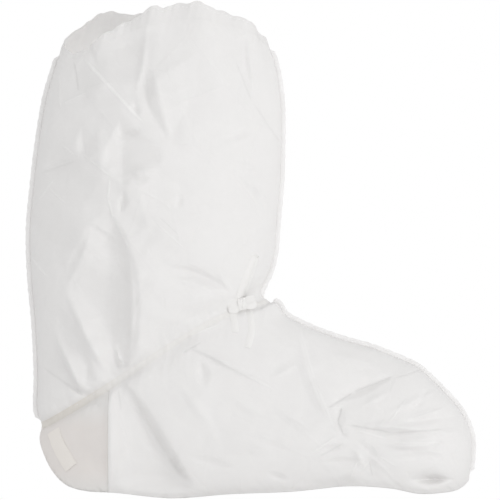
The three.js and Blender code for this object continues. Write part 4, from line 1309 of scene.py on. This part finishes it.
# %% [markdown]
# ## Seams
# The panels' edges are sewn together and trimmed to a narrow fin that stands out from the boot. It isn't
# stiff, so it leans one way and the other and its edge isn't quite even. A closed cross-section is carried
# along the seam line.

# %% Seam fins
SEAM_FIN = 3.8
SEAM_FIN_THICKNESS = 1.8
SEAM_CLEARANCE = 0.1  # in sections, between a seam's end and the hem or the ankle tape
SEAM_STEP = 1.5
FIN_TAPER, FIN_END = 5.0, 0.1  # length over which a seam's end grows, and its height at the very end
FIN_ROOT = 0.7  # how far the fin reaches in between the panels
ROOT_THICKNESS, ROOT_FROM, ROOT_OVER = 0.2, 0.08, 0.06  # shares of the full thickness and of the height
FIN_LEAN, FIN_UNEVEN = 0.75, 0.3
TOE_SEAM_FOOT = 1.5  # how far above the sole's tip the seam ends


def lengths_along(line):
    """How far along a line each of its points is."""
    return np.concatenate([[0], np.cumsum(np.linalg.norm(np.diff(line, axis=0), axis=1))])


def evenly_spaced(line, count):
    far = lengths_along(line)
    stops = np.linspace(0, far[-1], count)
    return np.stack([np.interp(stops, far, column) for column in line.T], axis=1)


def seam_line(start, end, front):
    """Evenly spaced points of a seam in the boot's middle plane, and the ways along it and out of it."""
    fine = np.linspace(start, end, 1500)
    share = 1.0 if front else 0.0
    line = smooth_points(fine, whole_length(fine)[:, None] * share, LEFT)[:, 0]
    if not front:
        line = line[::-1]
    if end == TOE_END:
        down = np.linspace(whole_length(fine[-1:])[0], TOE_SEAM_FOOT, 12)[1:]
        line = np.concatenate([line, smooth_points(fine[-1:], down[None], LEFT)[0]])
    line[:, 1] = 0
    points = evenly_spaced(line, int(lengths_along(line)[-1] / SEAM_STEP))
    way = unit(np.gradient(points, axis=0))
    out = np.stack([-way[:, 2], np.zeros(len(way)), way[:, 0]], axis=1)
    return points, way, out


def fin_shape(run):
    """How far the fin leans to the left side and how uneven its edge is, along the seam."""
    return FIN_LEAN * waves(run, 31.0, 19.0, 47.0), FIN_UNEVEN * waves(run, 7.0, 11.0)


def seam_fin(name, line):
    points, _, out = line
    run = np.arange(len(points)) * SEAM_STEP
    lean, uneven = fin_shape(run)
    height, thick = rounded_strip(SEAM_FIN / 2, SEAM_FIN_THICKNESS / 2, 32)
    share = (height / (SEAM_FIN / 2) + 1) / 2
    thick = thick * (ROOT_THICKNESS + (1 - ROOT_THICKNESS) * smooth((share - ROOT_FROM) / ROOT_OVER))
    taper = FIN_END + (1 - FIN_END) * smooth(run / FIN_TAPER) * smooth((run[-1] - run) / FIN_TAPER)
    rise = ((FIN_ROOT + SEAM_FIN) * share[None, :] + uneven[:, None] * share) * taper[:, None] - FIN_ROOT
    sideways = thick[None, :] + lean[:, None] * share**2
    rings = points[:, None] + out[:, None] * rise[..., None]
    rings[..., 1] = sideways
    first, last = rings[0].mean(axis=0), rings[-1].mean(axis=0)
    rings = np.concatenate([[np.tile(first, (len(height), 1))], rings, [np.tile(last, (len(height), 1))]])
    fin = grid_sheet(name, rings)
    close_up(fin)
    soften(fin, 70)
    return fin


leg_ends = HEM_DEPTH + SEAM_CLEARANCE, ANKLE - TAPE_HALF - SEAM_CLEARANCE
foot_ends = ANKLE + TAPE_HALF + SEAM_CLEARANCE, TOE_END
SEAMS = {
    "shin_seam": seam_line(*leg_ends, front=True),
    "instep_seam": seam_line(*foot_ends, front=True),
    "back_seam": seam_line(*leg_ends, front=False),
}
for node, line in SEAMS.items():
    finish_piece(seam_fin(node + "_fin", line), seam_painted_light_finish, "seam_edge", node)

# %% [markdown]
# ## Overlock thread
# An overlock machine wraps thread round the trimmed edge so that it can't fray. One loop of thread goes up
# one face of the fin, over its edge and down the other face. It is modelled once, as a thin closed tube, and
# copied along every seam, each copy turned into the direction of its seam.

# %% Overlock loops
THREAD_RADIUS = 0.12
LOOP_SPACING = 3.0
BARE_END = 0.75 * FIN_TAPER  # no loops here, where the fin is low
LOOP_PATH = (
    # along, sideways, out
    (-0.9, -0.9, 0.7),
    (-0.3, -0.98, 2.0),
    (0.3, -0.8, 3.4),
    (0.5, -0.3, 3.9),
    (0.5, 0.3, 3.9),
    (0.3, 0.8, 3.4),
    (-0.3, 0.98, 2.0),
    (-0.9, 0.9, 0.7),
)


def tube_points(path, radius, sides):
    """Rings round a path, closed to a point at both ends."""
    path = np.asarray(path, float)
    way = unit(np.gradient(path, axis=0))
    across = unit(np.cross(way, np.array([1.0, 0.0, 0.0])))
    up = np.cross(way, across)
    turn = np.linspace(0, 2 * math.pi, sides + 1)[:, None]
    rings = path[:, None] + radius * (np.cos(turn) * across[:, None] + np.sin(turn) * up[:, None])
    first, last = (np.tile(path[n], (1, sides + 1, 1)) for n in (0, -1))
    return np.concatenate([first, rings, last])


def closed_tube(name, path, radius, sides):
    tube = grid_sheet(name, tube_points(path, radius, sides))
    close_up(tube, nearest=0.000001)
    return tube


def copies_joined(name, model, matrices):
    """A copy of the model for each matrix, each with its own mesh, joined into one piece."""
    copies = []
    for matrix in matrices:
        made = model.copy()
        made.data = model.data.copy()
        made.data.transform(matrix)
        bpy.context.scene.collection.objects.link(made)
        copies.append(made)
    return joined(name, copies, 80)


def placing(point, x_way, y_way, z_way):
    """The matrix that puts a model, made in pattern units at the origin, at a point in three ways."""
    turned = Matrix([[*x_way], [*y_way], [*z_way]]).transposed().to_4x4()
    return Matrix.Translation(Vector(point * MM)) @ turned


def remove(piece):
    bpy.data.objects.remove(piece, do_unlink=True)


thread_loop = closed_tube("thread_loop", LOOP_PATH, THREAD_RADIUS, 5)
for node, (points, way, out) in SEAMS.items():
    bare = BARE_END / SEAM_STEP
    stops = np.arange(bare, len(points) - bare, LOOP_SPACING / SEAM_STEP)
    lean, uneven = fin_shape(stops * SEAM_STEP)
    matrices = []
    for stop, aside, up in zip(stops, lean, uneven):
        n = int(stop)
        z_way = Vector(out[n] * (1 + up / SEAM_FIN)) + Vector((0, aside / SEAM_FIN, 0))
        point = points[n] + (points[n + 1] - points[n]) * (stop - n)
        matrices.append(placing(point, way[n], (0, 1, 0), z_way))
    finish_piece(copies_joined(node + "_thread", thread_loop, matrices), thread_finish, "seam_edge")
remove(thread_loop)

# %% [markdown]
# ## Tie
# The ends of the ankle tape are tied in front of the ankle: one folded end stands up from the knot and two
# ends hang from it. They lie on the cloth, so their path is drawn over the side view and dropped onto the
# cloth by a ray, as a needle pushed straight through would find it. Shrinkwrap could do that too, but a ray
# also tells which way the cloth faces there.

# %% Finding the cloth under a place of the side view
NEEDLE_START = 0.3  # metres to the right of the boot
ROUTE_STEPS = 24  # fine steps between two points of a route
EASING_ROUNDS = 6


def surface_tree(piece):
    corners = [corner.co.copy() for corner in piece.data.vertices]
    return BVHTree.FromPolygons(corners, [list(face.vertices) for face in piece.data.polygons])


CLOTH_TREES = [surface_tree(piece) for piece in (right_panel, sole)]


def on_cloth(x, z):
    """The outermost point and normal of the right side at x and z, in pattern units, if there is any."""
    start = Vector((x * MM, RIGHT * NEEDLE_START, z * MM))
    hits = [tree.ray_cast(start, Vector((0, -RIGHT, 0))) for tree in CLOTH_TREES]
    hits = [hit for hit in hits if hit[0] is not None]
    if not hits:
        return None, None
    point, normal, _, _ = min(hits, key=lambda hit: hit[3])
    return np.array(point) / MM, np.array(normal)


def smooth_route(rows, count):
    """A smooth curve through given points, evenly divided."""
    rows = np.asarray(rows, float)
    padded = np.concatenate([[2 * rows[0] - rows[1]], rows, [2 * rows[-1] - rows[-2]]])
    shares = np.linspace(0, 1, ROUTE_STEPS, endpoint=False)
    fine = [curve_between(*padded[n : n + 4], share) for n in range(len(rows) - 1) for share in shares]
    return evenly_spaced(np.array(fine + [rows[-1]]), count)


def laid_on_cloth(route, count):
    """Points over the cloth along a route of x, z and height, with normals that don't jump."""
    rows = smooth_route(route, count)
    ground, normals = (np.array(found) for found in zip(*(on_cloth(x, z) for x, z, _ in rows)))
    for line in (ground, normals):
        for _ in range(EASING_ROUNDS):
            line[1:-1] = (line[:-2] + 2 * line[1:-1] + line[2:]) / 4
    normals = unit(normals)
    return ground + normals * rows[:, 2:3], normals


print(len(CLOTH_TREES), "pieces are searched for the cloth under the tie")

# %% [markdown]
# The tie is thin, flat tape of the same white. Its strips are flat grids with a slight curl across, thickened
# with Solidify. A cloth simulation could lay them down, but it would only blur such small, stiff pieces.

# %% Strips of tape
def flat_strip(name, middle, normals, width, thickness, curl, sway):
    """A strip of tape along a line, square to its normals, curled across and swaying a little."""
    way = unit(np.gradient(middle, axis=0))
    across = unit(np.cross(way, normals))
    face = np.cross(across, way)
    shares = np.linspace(-1, 1, 9)
    wave = sway * waves(np.arange(len(middle)), 9.0, 14.0)
    cup = curl * (shares**2 - 0.4)
    points = middle[:, None] + across[:, None] * (shares * width / 2)[:, None]
    points = points + face[:, None] * (cup[None, :] + wave[:, None] * shares)[..., None]
    strip = grid_sheet(name, points)
    normal = np.array(strip.data.polygons[len(strip.data.polygons) // 2].normal)
    if normal @ face[len(face) // 2] < 0:
        edit_all(strip, ("flip_normals", {}))
    thicken(strip, thickness)
    soften(strip, 60)
    return strip


TIE_WIDTH, TAIL_WIDTH = 7.4, 6.6
LOOP_TAPE = {"thickness": 0.22, "curl": -0.8, "sway": 0.08}
TAIL_TAPE = {"thickness": 0.35, "curl": -0.6, "sway": 0.12}
LOOP_ROUTE = [[-11.4, 180.5, 0.65], [-9.2, 188, 0.6], [-3, 205, 0.55], [4.2, 222, 0.5]]
LOOP_UNDER = [[4.5, 222.2, 0.1], [0.6, 208, 0.15], [-5.4, 193, 0.2], [-8.6, 181, 0.4]]
TAIL_BACK = [[-16.4, 176, 0.5], [-16.0, 169, 0.45], [-14.4, 160, 0.35], [-14, 153, 0.35]]
TAIL_FRONT = [[-3.0, 177, 0.5], [0.2, 168, 0.45], [1.2, 154, 0.35], [-3, 139, 0.35]]
SIDEWAYS = np.array([0.0, -1.0, 0.0])
SIDEWAYS_SHARE = 0.15  # how much the tape faces sideways, and for the rest along the cloth's normal


def laid_flat(route, count, width):
    """Points along a route of x, z and clearance: a strip there faces sideways and clears the cloth."""
    rows = smooth_route(route, count)
    middle, normals = laid_on_cloth(np.column_stack([rows[:, :2], np.zeros(count)]), count)
    normals = unit(normals * (1 - SIDEWAYS_SHARE) + SIDEWAYS * SIDEWAYS_SHARE)
    across = unit(np.cross(np.gradient(middle, axis=0), normals))
    lift = np.full(count, -np.inf)
    for share in (-1.0, -0.5, 0.0, 0.5, 1.0):
        for n, point in enumerate(middle + across * share * width / 2):
            found = on_cloth(point[0], point[2])[0]
            lift[n] = max(lift[n], rows[n, 2] if found is None else point[1] - found[1] + rows[n, 2])
    for _ in range(3):
        lift = np.maximum(lift, np.convolve(np.pad(lift, 1, "edge"), (0.25, 0.5, 0.25), "valid"))
    return middle + SIDEWAYS * lift[:, None], normals


def tie_loop():
    """The tape goes up, folds over and comes back down under itself."""
    up, up_normals = laid_flat(LOOP_ROUTE, 30, TIE_WIDTH)
    down, down_normals = laid_flat(LOOP_UNDER, 30, TIE_WIDTH)
    onward = up[-1] - up[-3]
    turn = (up[-1] + down[0]) / 2 + onward * 0.5
    middle = np.concatenate([up, [turn], down])
    normals = np.concatenate([up_normals, [unit(onward)], -down_normals])
    return flat_strip("tie_loop_strip", middle, normals, TIE_WIDTH, **LOOP_TAPE)


def tie_tail(name, route):
    middle, normals = laid_flat(route, 26, TAIL_WIDTH)
    return flat_strip(name, middle, normals, TAIL_WIDTH, **TAIL_TAPE)


finish_piece(tie_loop(), tape_finish, "tie_tape", "tie_loop")
for node, route in (("tie_tail_back", TAIL_BACK), ("tie_tail_front", TAIL_FRONT)):
    finish_piece(tie_tail(node + "_strip", route), tape_finish, "tie_tape", node)

# %% [markdown]
# ## Knot
# The knot is three turns of the same tape: a lobe to the back, a lobe to the front, and a wrap drawn tight
# over the middle. Each is a flat strip bent to a flattened ring, pinched where the wrap holds it.

# %% Knot
KNOT = {"x": -8.5, "z": 178.5, "rise": 2.5, "turn": 0.2}
KNOT_THICKNESS = 0.5
KNOT_LOBES = (
    # name, place along the way, half length, half depth, width, pinch, how far its sides are closed
    ("knot_lobe_back", -6.4, 7.6, 1.1, 13.5, 0.45, 0.5),
    ("knot_lobe_front", 6.2, 7.4, 1.1, 12.5, 0.45, 0.5),
)
KNOT_WRAP = ("knot_wrap", 0.0, 5.8, 2.0, 8.4, -0.1, 0.1)
RING_SQUARENESS = 0.8
RING_NARROWING = 0.3  # towards the two ends of a turn
CREASING = 0.5


def knot_frame():
    """The middle of the knot, and the ways along the tape, up over it and out of it."""
    ground, normal = on_cloth(KNOT["x"], KNOT["z"])
    normal = unit(normal * np.array([0.5, 1.0, 0.0]))
    level = np.cross(np.array([0.0, 0.0, 1.0]), normal)
    along = level * math.cos(KNOT["turn"]) + np.array([0.0, 0.0, math.sin(KNOT["turn"])])
    middle = ground + normal * (TAPE_SEAT + TAPE_THICKNESS + KNOT["rise"])
    return middle, along, np.cross(normal, along), normal


def knot_turn(row, centre, way, wide, normal):
    """One flattened ring of tape: it runs along the way and is pinched on the side of the knot's middle."""
    start, half_length, half_depth, width, pinch, closed = row[1:]
    turn = np.linspace(0, 2 * math.pi, 49)
    reach = np.sign(np.cos(turn)) * np.abs(np.cos(turn)) ** RING_SQUARENESS * half_length
    depth = np.sin(turn) * half_depth
    inner = np.clip(-np.sign(start) * reach / half_length, 0, 1) if start else np.zeros_like(turn)
    half_width = width / 2 * (1 - pinch * inner) * (1 - RING_NARROWING * np.abs(reach / half_length) ** 4)
    shares = np.linspace(-1, 1, 11)
    creased = CREASING * waves(shares[None, :] * 5 + turn[:, None] * 1.3 + start, 2.1, 3.4)
    out = depth[:, None] * (1 - closed * shares**2) + creased * (1 - 0.5 * np.abs(shares))
    points = centre + (start + reach)[:, None, None] * way + out[..., None] * normal
    ring = grid_sheet(row[0], points + (half_width[:, None] * shares)[..., None] * wide)
    close_up(ring)
    thicken(ring, KNOT_THICKNESS)
    return ring


centre, along, up, normal = knot_frame()
knot_parts = [knot_turn(row, centre, along, up, normal) for row in KNOT_LOBES]
knot_parts.append(knot_turn(KNOT_WRAP, centre, up, along, normal))
finish_piece(joined("tie_knot_turns", knot_parts, 60), tape_finish, "tie_tape", "tie_knot")

# %% [markdown]
# ## Heel tape
# A short beige strip reinforces the heel. It is stuck on flat, so it follows the sole sheet closely.

# %% Heel tape
HEEL_TAPE = {"width": 14.0, "thickness": 0.4, "curl": -0.3, "sway": 0.05}
HEEL_TAPE_ROUTE = [[-182, 61, 0.6], [-177.5, 49, 0.5], [-171.5, 38, 0.5], [-165, 28, 0.6]]
heel_strip = flat_strip("heel_tape_strip", *laid_on_cloth(HEEL_TAPE_ROUTE, 40), **HEEL_TAPE)
finish_piece(heel_strip, heel_tape_finish, "heel_tape", "heel_tape")

# %% [markdown]
# ## Stitches
# A row of stitches holds the hem down. One stitch is a tiny sunken capsule, made from a sphere and copied
# along the row.

# %% Stitch rows
STITCH_HALVES = (1.2 * MM, 0.28 * MM, 0.24 * MM)  # half length, half width and half height
STITCH_SPACING = 3.8
STITCH_AHEAD = 0.6  # a stitch points to the place this much further round
HEM_STITCHES = {"place": HEM_DEPTH * 0.26, "out": 0.16}  # in the groove of the hem's cross-section


def stitch_row(name, place, out):
    """Stitches round the boot at a place along it, a little out from the cloth."""
    start_fresh()
    bpy.ops.mesh.primitive_uv_sphere_add(segments=8, ring_count=6, radius=1.0)
    stitch = bpy.context.object
    stitch.data.transform(Matrix.Diagonal((*STITCH_HALVES, 1.0)))
    places = np.array([place])
    whole = float(whole_length(places)[0])
    stops = np.arange(STITCH_SPACING, whole - STITCH_SPACING / 2, STITCH_SPACING)[None]
    matrices = []
    for side in (RIGHT, LEFT):
        points = offset_points(places, stops, side, out)[0]
        x_ways = unit(offset_points(places, stops + STITCH_AHEAD, side, out)[0] - points)
        z_ways = normals_of(cloth_points, places, stops, side)[0]
        y_ways = unit(np.cross(z_ways, x_ways))
        matrices += [placing(*row) for row in zip(points, x_ways, y_ways, z_ways)]
    stitches = copies_joined(name, stitch, matrices)
    remove(stitch)
    return stitches


finish_piece(stitch_row("hem_stitches", **HEM_STITCHES), thread_finish, "elastic_hem")

# %% [markdown]
# ## Floor and light
# The boot stands on a white floor in a bright white room, which gives most of the light. A soft lamp in
# front and far to the right gives the folds their shade without hard shadows, and a weak one low in front of
# the foot brightens what the room leaves dark there. Thin nonwoven cloth also lets light through, which a
# tiny lamp inside the leg stands in for: it shines up at the inner face that shows behind the mouth. The
# camera sees the room and the floor as pure white.

# %% Floor and light
WHITE = (1, 1, 1, 1)
FLOOR_SIZE = 16
FLOOR_DROP = 0.0002
ROOM_LIGHT = 0.822
LAMPS = (
    # name, place, size, power
    ("key_lamp", (2.7, -2.0, 0.4), 1.0, 13),
    ("fill_lamp", (0.4, -1.1, 0.03), 0.6, 2.3),
    ("glow_inside", (-0.075, -0.01, 0.3), 0.05, 0.068),
)
GLOW_TURN = math.radians(150)


def floor_finish():
    """A pale floor, which the camera itself sees as pure white."""
    finish = Finish("pale_floor", Roughness=0.9)
    patches = finish.noise(finish.place(), 0.5)
    finish.feed("Base Color", finish.between(patches, (0.95, 0.95, 0.95), (0.97, 0.97, 0.97)))
    white = finish.node("ShaderNodeEmission", {}, {"Color": WHITE})
    seen = finish.node("ShaderNodeLightPath", {}, {}, "Is Camera Ray")
    pale = Number(finish, finish.shader.outputs[0])
    mixed = finish.node("ShaderNodeMixShader", {}, {0: seen, 1: pale, 2: white})
    finish.tree.links.new(mixed.socket, finish.tree.nodes["Material Output"].inputs[0])
    return finish.material


def soft_lamp(name, place, size, power):
    """A round lamp that faces the boot."""
    lamp = bpy.data.objects.new(name, bpy.data.lights.new(name, "AREA"))
    lamp.data.shape = "DISK"
    lamp.data.size = size
    lamp.data.energy = power
    lamp.location = place
    lamp.rotation_euler = (camera_target - Vector(place)).to_track_quat("-Z", "Y").to_euler()
    bpy.context.scene.collection.objects.link(lamp)
    return lamp


def white_room():
    """A world that lights the boot evenly, and that the camera sees as pure white."""
    room = bpy.data.worlds.new("white_room")
    room.use_nodes = True
    nodes, links = room.node_tree.nodes, room.node_tree.links
    lighting, seen = nodes["Background"], nodes.new("ShaderNodeBackground")
    for background, strength in ((lighting, ROOM_LIGHT), (seen, 1)):
        background.inputs["Color"].default_value = WHITE
        background.inputs["Strength"].default_value = strength
    path, mix = nodes.new("ShaderNodeLightPath"), nodes.new("ShaderNodeMixShader")
    for socket, source in enumerate((path.outputs["Is Camera Ray"], lighting.outputs[0], seen.outputs[0])):
        links.new(source, mix.inputs[socket])
    links.new(mix.outputs[0], nodes["World Output"].inputs[0])
    return room


start_fresh()
bpy.ops.mesh.primitive_grid_add(x_subdivisions=8, y_subdivisions=8, size=FLOOR_SIZE)
floor = bpy.context.object
floor.name = "floor"
floor.data.transform(Matrix.Translation((0, 0, cad_box[0][2] - FLOOR_DROP)))
floor.data.materials.append(floor_finish())
lamps = [soft_lamp(*row) for row in LAMPS]
lamps[-1].rotation_euler = (0, GLOW_TURN, 0)
bpy.context.scene.world = white_room()
bpy.context.scene.view_settings.view_transform = "Standard"
print(len(lamps), "soft lamps, a white room and a white floor")

# %% [markdown]
# ## Last
# Last, the scene is left in object mode, with nothing selected.

start_fresh()
